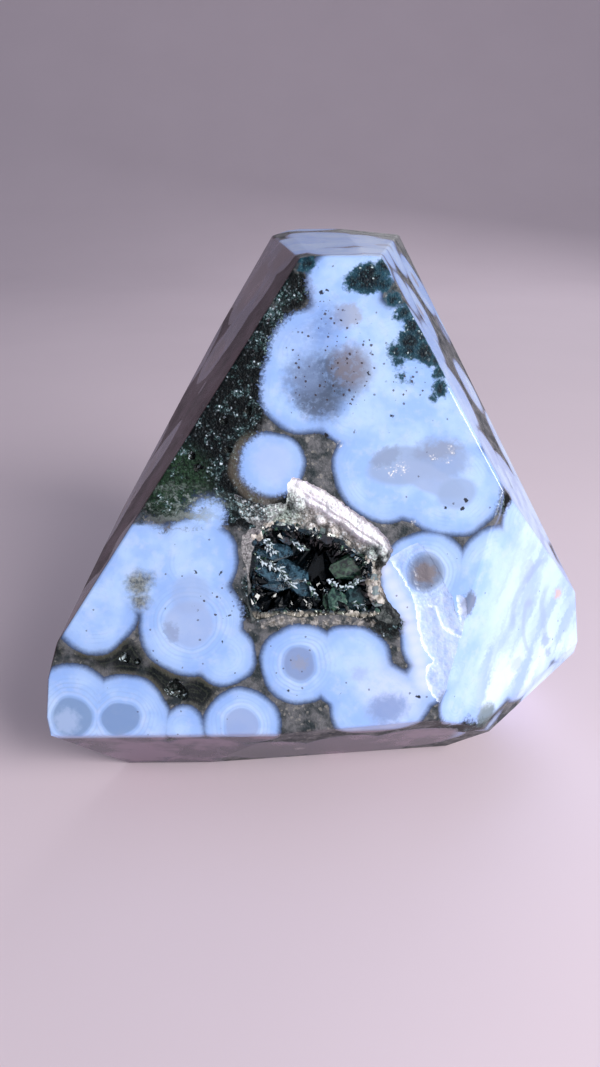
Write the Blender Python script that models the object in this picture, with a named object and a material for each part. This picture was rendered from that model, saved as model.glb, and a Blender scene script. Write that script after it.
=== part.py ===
"""Ocean jasper freeform: a cut and polished stone that stands on a small ground flat.

The stone is a leaning, flat-topped pyramid about 72 mm wide, 64 mm deep and 67 mm tall. Its front
facet opens into a crystal-lined hollow (a vug) with a broken ledge above it, and a thin spall has
left a low step beside it. Two sub-parts are modelled: the stone itself, and the crust of dark green
quartz that lines the hollow. Dimensions are in millimetres and are scaled to metres on the way in.

The origin is on the base flat, under the stone's centre of mass. +Z is up, and the front facet
faces -Y, leaning back.
"""
import math
import random

import bmesh
import bpy
from mathutils import Matrix, Vector, noise

MM = 0.001

# Rough block that the facets are cut from.
BLOCK = 110.0

# Facets of the stone: name, compass bearing of the outward normal (0 is +X, 90 is +Y), its tilt above
# the horizontal, both in degrees, and the facet's distance from the origin.
FRONT_LEAN = 25.0
FRONT_DISTANCE = 32.92
FACETS = (
    ("front", -90.0, FRONT_LEAN, FRONT_DISTANCE),
    ("base", 0.0, -90.0, 0.0),
    ("top", -100.1, 88.9, 66.24),
    ("top_left_shoulder", -167.9, 79.7, 66.15),
    ("top_right_shoulder", -15.8, 86.7, 66.24),
    ("left_shoulder", -171.1, 37.2, 45.67),
    ("right_shoulder", -10.7, 33.5, 40.18),
    ("right_cheek", -53.0, 9.5, 31.73),
    ("right_cheek_edge", -48.8, -10.7, 27.95),
    ("right_undercut", -34.6, -44.8, 15.72),
    ("front_undercut_left", -89.4, -36.6, 16.89),
    ("front_undercut_right", -84.1, -39.2, 14.84),
    ("left_flank_upper", 165.9, 8.6, 32.45),
    ("left_flank", 151.9, -10.2, 16.91),
    ("left_flank_lower", 166.0, -19.7, 23.25),
    ("back_left", 142.0, -11.9, 11.56),
    ("back_left_upper", 143.0, 0.6, 23.55),
    ("back", 93.0, 3.0, 32.71),
    ("back_right_upper", 66.0, 8.0, 35.40),
    ("back_right", 26.6, 5.8, 25.88),
)

# Polishing breaks every edge: width of the narrow bevel, and the smallest turn that gets one.
EDGE_WIDTH = 0.7
EDGE_MIN_TURN = 12.0

# Front-facet frame: (u, v, w) is right, up the slope and out of the stone, from this point of the facet.
FACE_X = -6.5
FACE_Z = 35.0

# Air gap kept between the stone and the crust, and how far a cutter stands out of the facet.
GAP = 0.4
STAND_OUT = 1.5

# Mouth of the vug on the front facet (u, v), and its depth in rings of (w, scale, shift u, shift v).
VUG_MOUTH = (
    (-5.9, -1.7), (-5.0, 0.2), (-3.2, 1.1), (-1.0, 1.0), (1.3, 0.5), (3.8, -0.2),
    (5.6, -1.2), (7.2, -2.6), (8.9, -3.6), (9.2, -5.8), (9.6, -8.2), (10.3, -9.8),
    (8.0, -10.5), (4.6, -10.2), (1.2, -10.5), (-2.2, -10.2), (-5.4, -10.7), (-6.6, -9.0),
    (-6.3, -6.6), (-6.5, -4.2),
)
VUG_RINGS = (
    (STAND_OUT, 1.10, 0.0, 0.0),
    (-0.15, 1.02, 0.0, 0.0),
    (-1.2, 0.98, 0.0, 0.0),
    (-3.2, 1.00, 0.0, 0.1),
    (-5.2, 0.96, 0.1, 0.2),
    (-7.2, 0.84, 0.3, 0.5),
    (-9.0, 0.62, 0.4, 1.0),
    (-10.2, 0.36, 0.4, 1.4),
)
VUG_ROUGHNESS = 0.6
VUG_GRAIN = 0.55
VUG_SEED = 7

# The crust: how far it starts below the facet, its wall thickness, and the rings of the open hollow
# that it leaves.
CRUST_RIM_DEPTH = 0.5
CRUST_WALL = 0.75
HOLLOW_ROUGHNESS = 0.9
HOLLOW_RINGS = (
    (STAND_OUT, 1.0, 0.0, 0.0),
    (-1.0, 0.99, 0.0, 0.0),
    (-1.9, 0.93, 0.0, 0.1),
    (-3.2, 0.92, 0.2, 0.2),
    (-5.2, 0.86, 0.4, 0.4),
    (-7.0, 0.70, 0.6, 0.8),
    (-8.6, 0.42, 0.5, 1.2),
)

# Broken ledge above the vug: steps of (outline, depth at its upper edge, slope across it).
LEDGE_ACROSS = (-0.56, -0.83)
LEDGE_STEPS = (
    (((-1.3, 6.0), (-0.9, 7.0), (0.3, 7.0), (1.3, 6.2), (3.1, 5.4), (5.0, 4.1), (7.1, 2.5), (9.3, 1.0),
      (10.9, -0.5), (11.6, -2.1), (10.6, -4.2), (8.4, -4.6), (4.5, -2.2), (0.6, -0.6), (-1.8, 2.6)),
     0.35, 0.20),
    (((-0.4, 4.6), (1.3, 4.9), (3.4, 3.4), (5.6, 1.5), (7.6, 0.2), (9.3, -1.3), (9.9, -3.4),
      (8.2, -5.0), (4.2, -2.6), (0.4, -0.8), (-1.2, 2.2)),
     0.95, 0.32),
    (((0.8, 2.2), (3.0, 1.4), (5.0, -0.1), (6.9, -1.7), (8.0, -3.6), (6.6, -4.8), (3.4, -2.6),
      (0.2, -1.0)),
     1.9, 0.35),
)

# Rounded lumps left standing on the ledge: (u, v, depth of centre, radius).
LEDGE_LUMPS = (
    (-0.9, 6.5, 1.2, 1.1), (0.4, 6.3, 1.1, 1.0), (-1.2, 5.1, 1.3, 1.1), (2.0, 5.2, 1.3, 1.0),
    (0.9, 3.0, 2.1, 1.3), (2.7, 2.2, 2.4, 1.2), (4.6, 1.2, 2.3, 1.0), (6.4, -0.2, 2.4, 1.1),
    (8.6, -1.4, 1.9, 1.1), (10.4, -1.6, 1.2, 1.0), (9.9, -3.0, 1.5, 1.0), (3.6, 0.4, 3.2, 1.2),
    (4.0, 3.6, 1.3, 0.8), (6.2, 2.0, 1.4, 0.9), (8.0, 0.6, 1.4, 0.8), (5.6, -0.6, 3.2, 1.1),
    (0.2, 1.6, 2.4, 1.0), (7.6, -2.0, 2.8, 1.0),
)

# Sugary hollow left of the ledge, shallow and sloping into the vug.
SUGAR_OUTLINE = (
    (-8.2, 5.0), (-5.0, 4.6), (-1.6, 4.2), (0.3, 2.8), (0.4, 0.4), (-3.4, 0.2), (-6.4, 0.9),
)
SUGAR_ACROSS = (0.4, -0.9)
SUGAR_DEPTH = 0.3
SUGAR_SLOPE = 0.16

# Thin spalls right of the ledge: outline whose first points follow the jagged riser, depth at the
# riser, and the rise across the spall back to the facet.
SPALLS = (
    (((11.4, -5.2), (12.7, -7.0), (13.7, -8.3), (14.6, -10.6), (15.9, -13.2), (16.5, -16.0),
      (15.6, -16.5), (15.6, -19.0), (17.4, -21.4), (19.4, -19.8), (19.0, -13.6), (15.6, -7.6)),
     0.40, 0.105),
    (((16.1, -9.0), (17.4, -10.8), (17.9, -12.3), (19.2, -12.9), (20.8, -12.6), (19.8, -8.6)),
     0.42, 0.11),
)
SPALL_ACROSS = (0.9, 0.35)

# Small open pits on the front facet, as (u, v, radius, depth of centre): the little second vug, the
# matrix notch on the left edge, and pits in the matrix and in the large orb's core.
PITS = (
    (-15.5, -19.2, 1.35, 0.2), (-30.9, -15.6, 1.25, 0.1), (-29.6, -16.8, 0.9, 0.2),
    (-21.4, -15.6, 0.8, 0.3), (12.2, 8.0, 0.55, 0.25), (13.6, 8.3, 0.45, 0.25),
    (17.4, 8.8, 0.5, 0.25), (2.9, 9.6, 0.6, 0.3), (-8.9, 10.4, 0.7, 0.3), (-12.6, 8.2, 0.8, 0.4),
    (-6.4, 15.2, 0.7, 0.3), (-0.6, 29.0, 0.7, 0.35),
)

# Tabular crystals standing in the vug: (base u, v, w, lean u, v, w, length, width, thickness).
PLATES = (
    (-6.2, -3.4, -3.0, 0.90, -0.35, 0.10, 4.6, 3.4, 0.8),
    (-6.0, -5.4, -3.6, 0.95, -0.20, -0.05, 4.6, 3.2, 0.8),
    (-5.4, -7.4, -3.4, 0.88, -0.10, -0.20, 4.4, 3.4, 0.9),
    (-3.8, -9.8, -4.4, 0.35, 0.90, -0.10, 3.6, 3.6, 0.8),
    (8.9, -4.2, -2.6, -0.95, -0.10, -0.10, 4.6, 3.4, 1.2),
    (8.6, -8.4, -2.8, -0.90, 0.35, -0.05, 5.0, 3.8, 1.0),
    (5.6, -10.0, -3.0, -0.20, 0.95, -0.15, 4.0, 3.4, 0.9),
    (1.4, -10.2, -4.2, 0.10, 0.95, -0.20, 2.6, 3.0, 0.8),
    (-3.6, 0.8, -3.0, 0.30, -0.90, -0.25, 2.4, 3.0, 0.7),
)

# Six-sided quartz points between the plates: (base u, v, w, lean u, v, w, length, radius).
POINTS = (
    (-6.0, -1.8, -1.8, 0.85, -0.30, 0.20, 2.2, 0.75), (-5.0, 0.2, -2.2, 0.50, -0.80, 0.10, 2.2, 0.70),
    (-6.4, -8.8, -1.8, 0.80, 0.35, 0.25, 2.4, 0.80), (-4.6, -10.2, -2.0, 0.35, 0.85, 0.15, 2.0, 0.70),
    (-1.6, -10.2, -2.2, 0.05, 0.90, 0.25, 1.8, 0.65), (3.4, -10.0, -1.8, 0.00, 0.90, 0.30, 1.9, 0.70),
    (7.6, -10.2, -1.8, -0.30, 0.85, 0.25, 2.0, 0.75), (9.8, -9.0, -1.6, -0.80, 0.35, 0.25, 2.2, 0.75),
    (9.2, -6.4, -1.8, -0.90, 0.05, 0.25, 2.0, 0.70), (7.4, -2.6, -2.8, -0.50, -0.75, 0.05, 2.0, 0.65),
    (-1.2, 1.0, -3.6, 0.00, -0.80, 0.10, 2.0, 0.65), (-6.3, -6.4, -1.6, 0.90, 0.00, 0.30, 1.9, 0.70),
    (0.2, -10.3, -6.0, 0.05, 0.80, 0.20, 2.4, 0.85), (-4.6, -3.0, -7.0, 0.70, 0.00, 0.50, 2.6, 0.90),
    (-3.2, -6.4, -8.0, 0.50, 0.20, 0.70, 2.6, 0.95), (7.0, -6.6, -7.0, -0.70, 0.10, 0.50, 2.4, 0.90),
)

# Colours of the two materials, with roughness.
STONE_COLOUR = (0.52, 0.62, 0.86, 1.0)
STONE_ROUGHNESS = 0.22
CRUST_COLOUR = (0.030, 0.075, 0.060, 1.0)
CRUST_ROUGHNESS = 0.30


def clear_scene():
    for obj in list(bpy.data.objects):
        bpy.data.objects.remove(obj, do_unlink=True)


def new_collection(name):
    collection = bpy.data.collections.new(name)
    bpy.context.scene.collection.children.link(collection)
    return collection


def new_material(name, colour, roughness):
    material = bpy.data.materials.new(name)
    material.use_nodes = True
    shader = material.node_tree.nodes["Principled BSDF"]
    shader.inputs["Base Color"].default_value = colour
    shader.inputs["Roughness"].default_value = roughness
    shader.inputs["Metallic"].default_value = 0.0
    return material


def direction(bearing, tilt):
    """Unit vector with a compass bearing and a tilt above the horizontal, in degrees."""
    bearing = math.radians(bearing)
    tilt = math.radians(tilt)
    return Vector((math.cos(tilt) * math.cos(bearing), math.cos(tilt) * math.sin(bearing), math.sin(tilt)))


def face_frame():
    """Matrix from the front facet's (u, v, w), in metres, to the part's own frame."""
    outward = direction(-90.0, FRONT_LEAN)
    across = Vector((1.0, 0.0, 0.0))
    up_slope = outward.cross(across)
    face_y = (FRONT_DISTANCE - outward.z * FACE_Z) / outward.y
    matrix = Matrix((across, up_slope, outward)).transposed().to_4x4()
    matrix.translation = Vector((FACE_X, face_y, FACE_Z)) * MM
    return matrix


def keep_inside(bm, normal, distance):
    """Grind a solid down to one plane and close the cut with a flat face."""
    cut = bmesh.ops.bisect_plane(
        bm,
        geom=bm.verts[:] + bm.edges[:] + bm.faces[:],
        dist=1e-6,
        plane_co=normal * distance * MM,
        plane_no=normal,
        clear_outer=True,
    )
    rim = [item for item in cut["geom_cut"] if isinstance(item, bmesh.types.BMEdge)]
    if len(rim) > 2:
        bmesh.ops.holes_fill(bm, edges=rim)


def edge_bevels(bm):
    """Planes (normal, distance) that break each sharp edge of the faceted solid."""
    bevels = []
    for edge in bm.edges:
        turn = edge.calc_face_angle()
        if math.degrees(turn) < EDGE_MIN_TURN:
            continue
        first, second = (face.normal for face in edge.link_faces)
        normal = (first + second).normalized()
        depth = 0.5 * EDGE_WIDTH * math.tan(0.5 * turn)
        bevels.append((normal, edge.verts[0].co.dot(normal) / MM - depth))
    return bevels


def finish(bm, name, collection, material=None):
    bmesh.ops.recalc_face_normals(bm, faces=bm.faces)
    mesh = bpy.data.meshes.new(name)
    bm.to_mesh(mesh)
    bm.free()
    obj = bpy.data.objects.new(name, mesh)
    collection.objects.link(obj)
    if material:
        mesh.materials.append(material)
    return obj


def make_cutter(bm, name, collection):
    """A guide solid drawn in the front facet's frame; it stays out of the finished part."""
    bmesh.ops.scale(bm, vec=(MM, MM, MM), verts=bm.verts)
    obj = finish(bm, name, collection)
    obj.matrix_world = face_frame()
    obj.hide_render = True
    obj.display_type = "WIRE"
    return obj


def add_boolean(target, cutter, operation):
    modifier = target.modifiers.new(f"{operation.lower()}_{cutter.name}", "BOOLEAN")
    modifier.object = cutter
    modifier.operation = operation
    modifier.solver = "EXACT"


def draw_in(bm, distance):
    """Move every face of a closed solid inward by a distance."""
    bmesh.ops.recalc_face_normals(bm, faces=bm.faces)
    bm.normal_update()
    moves = [vert.normal * distance * vert.calc_shell_factor() for vert in bm.verts]
    for vert, move in zip(bm.verts, moves):
        vert.co -= move


def ring_points(mouth, inset, ring):
    """One ring of a hollow: the mouth drawn in by the inset, then scaled and shifted."""
    depth, scale, shift_u, shift_v = ring
    centre = sum((Vector(point) for point in mouth), Vector((0.0, 0.0))) / len(mouth)
    points = []
    for point in mouth:
        arm = Vector(point) - centre
        arm = arm * (scale * (arm.length - inset) / arm.length)
        points.append(Vector((centre.x + arm.x + shift_u, centre.y + arm.y + shift_v, depth)))
    return points


def hollow(rings, inset, rough):
    """Loft the vug's rings into a closed, craggy solid."""
    bm = bmesh.new()
    loops = []
    for ring in rings:
        points = ring_points(VUG_MOUTH, inset, ring)
        loops.append([bm.verts.new(point + rough * noise.noise_vector(point * VUG_GRAIN)) for point in points])
    count = len(VUG_MOUTH)
    for outer, inner in zip(loops, loops[1:]):
        for i in range(count):
            j = (i + 1) % count
            bm.faces.new((outer[i], outer[j], inner[j], inner[i]))
    lid = bm.faces.new(loops[0])
    floor = bm.faces.new(loops[-1])
    bmesh.ops.poke(bm, faces=[lid, floor])
    bmesh.ops.triangulate(bm, faces=bm.faces)
    return bm


def slab(outline, depth_at):
    """A prism over an outline, from above the facet down to a sloping floor."""
    bm = bmesh.new()
    lid = [bm.verts.new((u, v, STAND_OUT)) for u, v in outline]
    floor = [bm.verts.new((u, v, -depth_at(u, v))) for u, v in outline]
    count = len(outline)
    bm.faces.new(lid)
    bm.faces.new(floor)
    for i in range(count):
        j = (i + 1) % count
        bm.faces.new((lid[i], lid[j], floor[j], floor[i]))
    return bm


def sloping(outline, across, depth, slope):
    """Depth of a slab's floor: a start depth on its first edge and a slope across it."""
    start = min(u * across[0] + v * across[1] for u, v in outline)
    return lambda u, v: depth + slope * (u * across[0] + v * across[1] - start)


def lump(u, v, depth, radius, seed, detail=2):
    """A rounded, slightly uneven pebble shape."""
    jitter = random.Random(seed)
    bm = bmesh.new()
    bmesh.ops.create_icosphere(bm, subdivisions=detail, radius=radius)
    for vert in bm.verts:
        vert.co *= jitter.uniform(0.90, 1.06)
    bmesh.ops.translate(bm, vec=(u, v, -depth), verts=bm.verts)
    return bm


def stand(bm, base, lean, twist):
    """Turn a crystal drawn along +Z to its lean, and set it on its base."""
    axis = Vector(lean).normalized()
    turn = axis.to_track_quat("Z", "Y").to_matrix().to_4x4()
    spin = Matrix.Rotation(twist, 4, "Z")
    bmesh.ops.transform(bm, matrix=Matrix.Translation(base) @ turn @ spin, verts=bm.verts)


def plate(length, width, thickness):
    """A tabular crystal: a flat slab with cut corners and a chisel edge."""
    bm = bmesh.new()
    bmesh.ops.create_cube(bm, size=1.0)
    bmesh.ops.scale(bm, vec=(thickness, width, length), verts=bm.verts)
    bmesh.ops.translate(bm, vec=(0.0, 0.0, 0.5 * length), verts=bm.verts)
    corners = (
        (Vector((0.0, 0.80, 0.60)), 0.40 * width + 0.36 * length),
        (Vector((0.0, -0.55, 0.83)), 0.15 * width + 0.74 * length),
        (Vector((0.83, 0.0, 0.55)), 0.12 * thickness + 0.53 * length),
        (Vector((-0.75, 0.25, 0.61)), 0.20 * thickness + 0.10 * width + 0.55 * length),
    )
    for normal, distance in corners:
        normal.normalize()
        keep_inside(bm, normal, distance / MM)
    return bm


def quartz_point(length, radius):
    """A six-sided prism that ends in a six-sided pyramid."""
    bm = bmesh.new()
    shank = 0.62 * length
    bmesh.ops.create_cone(bm, cap_ends=True, segments=6, radius1=radius, radius2=0.92 * radius, depth=shank)
    bmesh.ops.translate(bm, vec=(0.0, 0.0, 0.5 * shank), verts=bm.verts)
    bm.faces.ensure_lookup_table()
    top = max(bm.faces, key=lambda face: face.calc_center_median().z)
    tip = bmesh.ops.poke(bm, faces=[top])["verts"][0]
    tip.co.z = length
    return bm


def build_stone(parts, cutters, material):
    bm = bmesh.new()
    bmesh.ops.create_cube(bm, size=BLOCK * MM)
    bmesh.ops.translate(bm, vec=(0.0, 0.0, 0.5 * BLOCK * MM - 10.0 * MM), verts=bm.verts)
    for _, bearing, tilt, distance in FACETS:
        keep_inside(bm, direction(bearing, tilt), distance)
    bm.normal_update()
    for normal, distance in edge_bevels(bm):
        keep_inside(bm, normal, distance)
    stone = finish(bm, "stone", parts, material)

    for number, (outline, depth, slope) in enumerate(LEDGE_STEPS):
        step = slab(outline, sloping(outline, LEDGE_ACROSS, depth, slope))
        add_boolean(stone, make_cutter(step, f"ledge_cut_{number}", cutters), "DIFFERENCE")
    for number, (u, v, depth, radius) in enumerate(LEDGE_LUMPS):
        knob = lump(u, v, depth, radius, 40 + number)
        add_boolean(stone, make_cutter(knob, f"ledge_lump_{number}", cutters), "UNION")
    vug = make_cutter(hollow(VUG_RINGS, 0.0, VUG_ROUGHNESS), "vug_cut", cutters)
    add_boolean(stone, vug, "DIFFERENCE")
    sugar = slab(SUGAR_OUTLINE, sloping(SUGAR_OUTLINE, SUGAR_ACROSS, SUGAR_DEPTH, SUGAR_SLOPE))
    add_boolean(stone, make_cutter(sugar, "sugar_cut", cutters), "DIFFERENCE")
    for number, (outline, depth, rise) in enumerate(SPALLS):
        spall = slab(outline, sloping(outline, SPALL_ACROSS, depth, -rise))
        add_boolean(stone, make_cutter(spall, f"spall_cut_{number}", cutters), "DIFFERENCE")
    for number, (u, v, radius, depth) in enumerate(PITS):
        pit = lump(u, v, depth, radius, 80 + number, detail=1)
        add_boolean(stone, make_cutter(pit, f"pit_cut_{number}", cutters), "DIFFERENCE")
    return stone


def build_crust(parts, cutters, material):
    """Lining with fused crystals, trimmed so that it lies a hair clear of the stone's walls."""
    block = hollow(VUG_RINGS, 0.0, VUG_ROUGHNESS)
    keep_inside(block, Vector((0.0, 0.0, 1.0)), -0.5 * CRUST_RIM_DEPTH / MM)
    bmesh.ops.scale(block, vec=(MM, MM, MM), verts=block.verts)
    crust = finish(block, "vug_crust", parts, material)
    crust.matrix_world = face_frame()

    opening = make_cutter(hollow(HOLLOW_RINGS, CRUST_WALL, HOLLOW_ROUGHNESS), "crust_opening", cutters)
    add_boolean(crust, opening, "DIFFERENCE")
    for number, values in enumerate(PLATES):
        tablet = plate(*values[6:])
        stand(tablet, values[0:3], values[3:6], 0.35 * number)
        add_boolean(crust, make_cutter(tablet, f"plate_{number}", cutters), "UNION")
    for number, values in enumerate(POINTS):
        point = quartz_point(*values[6:])
        stand(point, values[0:3], values[3:6], 0.9 * number)
        add_boolean(crust, make_cutter(point, f"point_{number}", cutters), "UNION")
    trim = hollow(VUG_RINGS, 0.0, VUG_ROUGHNESS)
    draw_in(trim, GAP)
    keep_inside(trim, Vector((0.0, 0.0, 1.0)), -CRUST_RIM_DEPTH / MM)
    add_boolean(crust, make_cutter(trim, "crust_trim", cutters), "INTERSECT")
    return crust


def main():
    clear_scene()
    noise.seed_set(VUG_SEED)
    parts = new_collection("ocean_jasper")
    cutters = new_collection("cutters")
    stone_material = new_material("stone", STONE_COLOUR, STONE_ROUGHNESS)
    crust_material = new_material("vug_crust", CRUST_COLOUR, CRUST_ROUGHNESS)
    stone = build_stone(parts, cutters, stone_material)
    crust = build_crust(parts, cutters, crust_material)
    return stone, crust


main()
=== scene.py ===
"""Ocean jasper freeform: a faceted, polished stone with a crystal-lined hollow, on a pale studio floor."""

import math
import random

import bmesh
import bpy
from mathutils import Matrix, Vector, noise


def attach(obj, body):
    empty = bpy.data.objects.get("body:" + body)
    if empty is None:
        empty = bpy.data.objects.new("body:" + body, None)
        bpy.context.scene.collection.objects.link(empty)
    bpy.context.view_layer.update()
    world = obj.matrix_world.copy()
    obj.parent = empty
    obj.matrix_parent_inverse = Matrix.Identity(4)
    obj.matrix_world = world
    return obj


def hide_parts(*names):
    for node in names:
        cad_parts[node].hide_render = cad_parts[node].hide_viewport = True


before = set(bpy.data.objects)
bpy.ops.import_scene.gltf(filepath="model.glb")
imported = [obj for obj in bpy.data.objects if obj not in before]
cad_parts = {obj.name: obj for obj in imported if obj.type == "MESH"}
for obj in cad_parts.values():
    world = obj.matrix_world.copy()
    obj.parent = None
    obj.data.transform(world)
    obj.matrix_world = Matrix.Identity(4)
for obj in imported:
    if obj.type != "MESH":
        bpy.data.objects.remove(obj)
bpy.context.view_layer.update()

# The stone: its cut facets.
# One piece of orbicular chalcedony, ground to flat facets on a lap and polished. Its edges were
# broken lightly by hand, so each ends in a narrow round. The CAD's planes are used again here.
MM = 0.001
BLOCK = 110.0
BLOCK_DROP = 10.0
FRONT_LEAN = 25.0
FACETS = (
    ("front", -90.0, FRONT_LEAN, 32.92),
    ("base", 0.0, -90.0, 0.0),
    ("top", -100.1, 88.9, 66.24),
    ("top_left_shoulder", -167.9, 79.7, 66.15),
    ("top_right_shoulder", -15.8, 86.7, 66.24),
    ("left_shoulder", -171.1, 37.2, 45.67),
    ("right_shoulder", -10.7, 33.5, 40.18),
    ("right_cheek", -53.0, 9.5, 31.73),
    ("right_cheek_edge", -48.8, -10.7, 27.95),
    ("right_undercut", -34.6, -44.8, 15.72),
    ("front_undercut_left", -89.4, -36.6, 16.89),
    ("front_undercut_right", -84.1, -39.2, 14.84),
    ("left_flank_upper", 165.9, 8.6, 32.45),
    ("left_flank", 151.9, -10.2, 16.91),
    ("left_flank_lower", 166.0, -19.7, 23.25),
    ("back_left", 142.0, -11.9, 11.56),
    ("back_left_upper", 143.0, 0.6, 23.55),
    ("back", 93.0, 3.0, 32.71),
    ("back_right_upper", 66.0, 8.0, 35.40),
    ("back_right", 26.6, 5.8, 25.88),
)
EDGE_WIDTH = 0.6
EDGE_MIN_TURN = 5.0
EDGE_STEPS = 5


def direction(bearing, tilt):
    """Unit vector with a compass bearing and a tilt above the horizontal, in degrees."""
    bearing = math.radians(bearing)
    tilt = math.radians(tilt)
    return Vector((math.cos(tilt) * math.cos(bearing), math.cos(tilt) * math.sin(bearing), math.sin(tilt)))


def keep_inside(bm, normal, distance):
    """Grind a solid down to one plane and close the cut with a flat face."""
    cut = bmesh.ops.bisect_plane(
        bm,
        geom=bm.verts[:] + bm.edges[:] + bm.faces[:],
        dist=1e-7,
        plane_co=normal * distance,
        plane_no=normal,
        clear_outer=True,
    )
    rim = [item for item in cut["geom_cut"] if isinstance(item, bmesh.types.BMEdge)]
    if len(rim) > 2:
        bmesh.ops.holes_fill(bm, edges=rim)


def edge_rounds(bm):
    """Planes (normal, distance) that wrap a small cylinder along each sharp edge."""
    planes = []
    for edge in bm.edges:
        turn = edge.calc_face_angle()
        if math.degrees(turn) < EDGE_MIN_TURN:
            continue
        first, second = (face.normal.copy() for face in edge.link_faces)
        radius = 0.5 * EDGE_WIDTH * MM / math.sin(0.5 * turn)
        middle = (first + second).normalized()
        axis = edge.verts[0].co - middle * (radius / math.cos(0.5 * turn))
        for step in range(1, EDGE_STEPS + 1):
            normal = first.slerp(second, step / (EDGE_STEPS + 1))
            planes.append((normal, axis.dot(normal) + radius))
    return planes


body = bmesh.new()
bmesh.ops.create_cube(body, size=BLOCK * MM)
bmesh.ops.translate(body, vec=(0.0, 0.0, (0.5 * BLOCK - BLOCK_DROP) * MM), verts=body.verts)
for _, bearing, tilt, distance in FACETS:
    keep_inside(body, direction(bearing, tilt), distance * MM)
body.normal_update()
for normal, distance in edge_rounds(body):
    keep_inside(body, normal, distance)
bmesh.ops.recalc_face_normals(body, faces=body.faces)

stone_mesh = bpy.data.meshes.new("polished_stone")
body.to_mesh(stone_mesh)
body.free()
stone = bpy.data.objects.new("polished_stone", stone_mesh)
bpy.context.scene.collection.objects.link(stone)

# The stone: its broken ledge, spalls, hollow and pits.
# Fresh breaks in the same stone: a striated ledge above the hollow, a sugary slope beside it, thin
# flakes split off along a jagged line, the open hollow itself and small pits in the matrix.
# The front facet's (u, v, w) run right, up the slope and out of it, in mm from this point.
FACE_POINT = Vector((-6.5, -20.0, 35.0))
STAND_OUT = 1.5
RELIEF_STEP = 0.15
RELIEF_LOW = (-10.0, -22.6)
RELIEF_HIGH = (21.8, 8.4)
CLEAR_OF_FACET = 0.3
LEDGE = (
    (-1.5, 6.2), (-0.9, 7.0), (-0.1, 6.9), (1.2, 6.3), (3.1, 5.4), (5.0, 4.1), (7.1, 2.5), (9.3, 1.0),
    (10.8, -0.4), (11.5, -2.0), (11.0, -3.4), (10.2, -4.2), (8.6, -5.4), (4.5, -4.0), (0.0, -2.0),
    (-3.8, -0.6), (-4.2, 0.9), (-3.0, 2.2), (-1.8, 3.2), (-1.6, 4.6),
)
LEDGE_ALONG = (0.83, -0.56)
LEDGE_ACROSS = (-0.56, -0.83)
LEDGE_TOP = -6.1
LEDGE_NODULES = (
    (0.2, 6.1, 1.15, 1.05), (-0.7, 4.9, 1.25, 1.15), (1.7, 5.2, 1.1, 0.8), (-0.1, 3.7, 1.6, 0.9),
    (2.6, 1.7, 2.2, 0.8), (4.1, 0.3, 2.6, 0.8), (1.4, 0.7, 2.5, 0.8),
    (8.3, 0.5, 1.2, 0.5), (10.3, -2.2, 1.0, 0.7), (9.0, -2.8, 1.5, 0.8), (10.7, -3.3, 0.9, 0.5),
    (5.6, -1.1, 3.0, 0.8), (-2.4, 0.7, 1.6, 0.8), (-3.3, 0.4, 1.7, 0.7), (-1.4, 0.7, 2.0, 0.7),
)
SUGAR = (
    (-8.4, 5.2), (-6.6, 4.4), (-4.4, 3.6), (-2.6, 4.0), (-0.6, 3.6), (1.4, 2.8), (1.2, -0.6), (-3.4, -0.6),
    (-5.2, 0.6), (-7.4, 2.0),
)
RIGHT_SLOPE = (
    (10.2, -3.6), (10.2, -6.4), (11.2, -8.4), (12.7, -10.2), (12.2, -11.6), (9.6, -10.9), (7.6, -8.0),
    (7.6, -4.0),
)
LEFT_SLOPE = (
    (-7.3, -0.2), (-6.0, 0.9), (-3.0, 1.4), (-3.4, -2.0), (-5.2, -4.5), (-4.6, -10.9), (-6.2, -11.2),
    (-6.5, -8.0), (-6.8, -4.4), (-7.5, -2.2),
)
# Split flakes: corners of the broken line from the top down, depth under it, run to its right.
FLAKES = (
    (((10.9, -3.1), (12.4, -5.2), (13.7, -7.4), (14.2, -8.9), (14.5, -11.4), (15.1, -13.9), (16.4, -15.8),
      (15.6, -16.4), (15.5, -18.2), (16.1, -19.7), (17.3, -21.2)), 0.55, 5.2),
    (((15.3, -9.1), (16.8, -9.2), (17.3, -10.8), (17.7, -11.8), (19.2, -12.7), (20.6, -13.2)), 0.34, 2.8),
    (((19.2, -7.4), (19.5, -9.3), (19.9, -11.2)), 0.28, 1.6),
)
VUG_MOUTH = (
    (-5.9, -1.7), (-5.0, 0.2), (-3.2, 1.1), (-1.0, 1.0), (1.3, 0.5), (3.8, -0.2),
    (5.6, -1.2), (7.2, -2.6), (8.9, -3.6), (9.2, -5.8), (9.6, -8.2), (10.3, -9.8),
    (8.0, -10.5), (4.6, -10.2), (1.2, -10.5), (-2.2, -10.2), (-5.4, -10.7), (-6.6, -9.0),
    (-6.3, -6.6), (-6.5, -4.2),
)
VUG_RINGS = (
    (1.5, 1.02, 0.0, 0.0), (0.4, 1.0, 0.0, 0.0), (-0.5, 0.98, 0.0, 0.0), (-1.2, 0.97, 0.0, 0.0),
    (-2.2, 0.99, 0.0, 0.1), (-3.2, 1.00, 0.0, 0.1), (-4.2, 0.98, 0.0, 0.2), (-5.2, 0.96, 0.1, 0.2),
    (-6.2, 0.90, 0.2, 0.4), (-7.2, 0.84, 0.3, 0.5), (-8.2, 0.73, 0.3, 0.8), (-9.0, 0.62, 0.4, 1.0),
    (-9.7, 0.48, 0.4, 1.2), (-10.2, 0.34, 0.4, 1.4),
)
VUG_AROUND = 120
VUG_ROUGHNESS = 0.35
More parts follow.
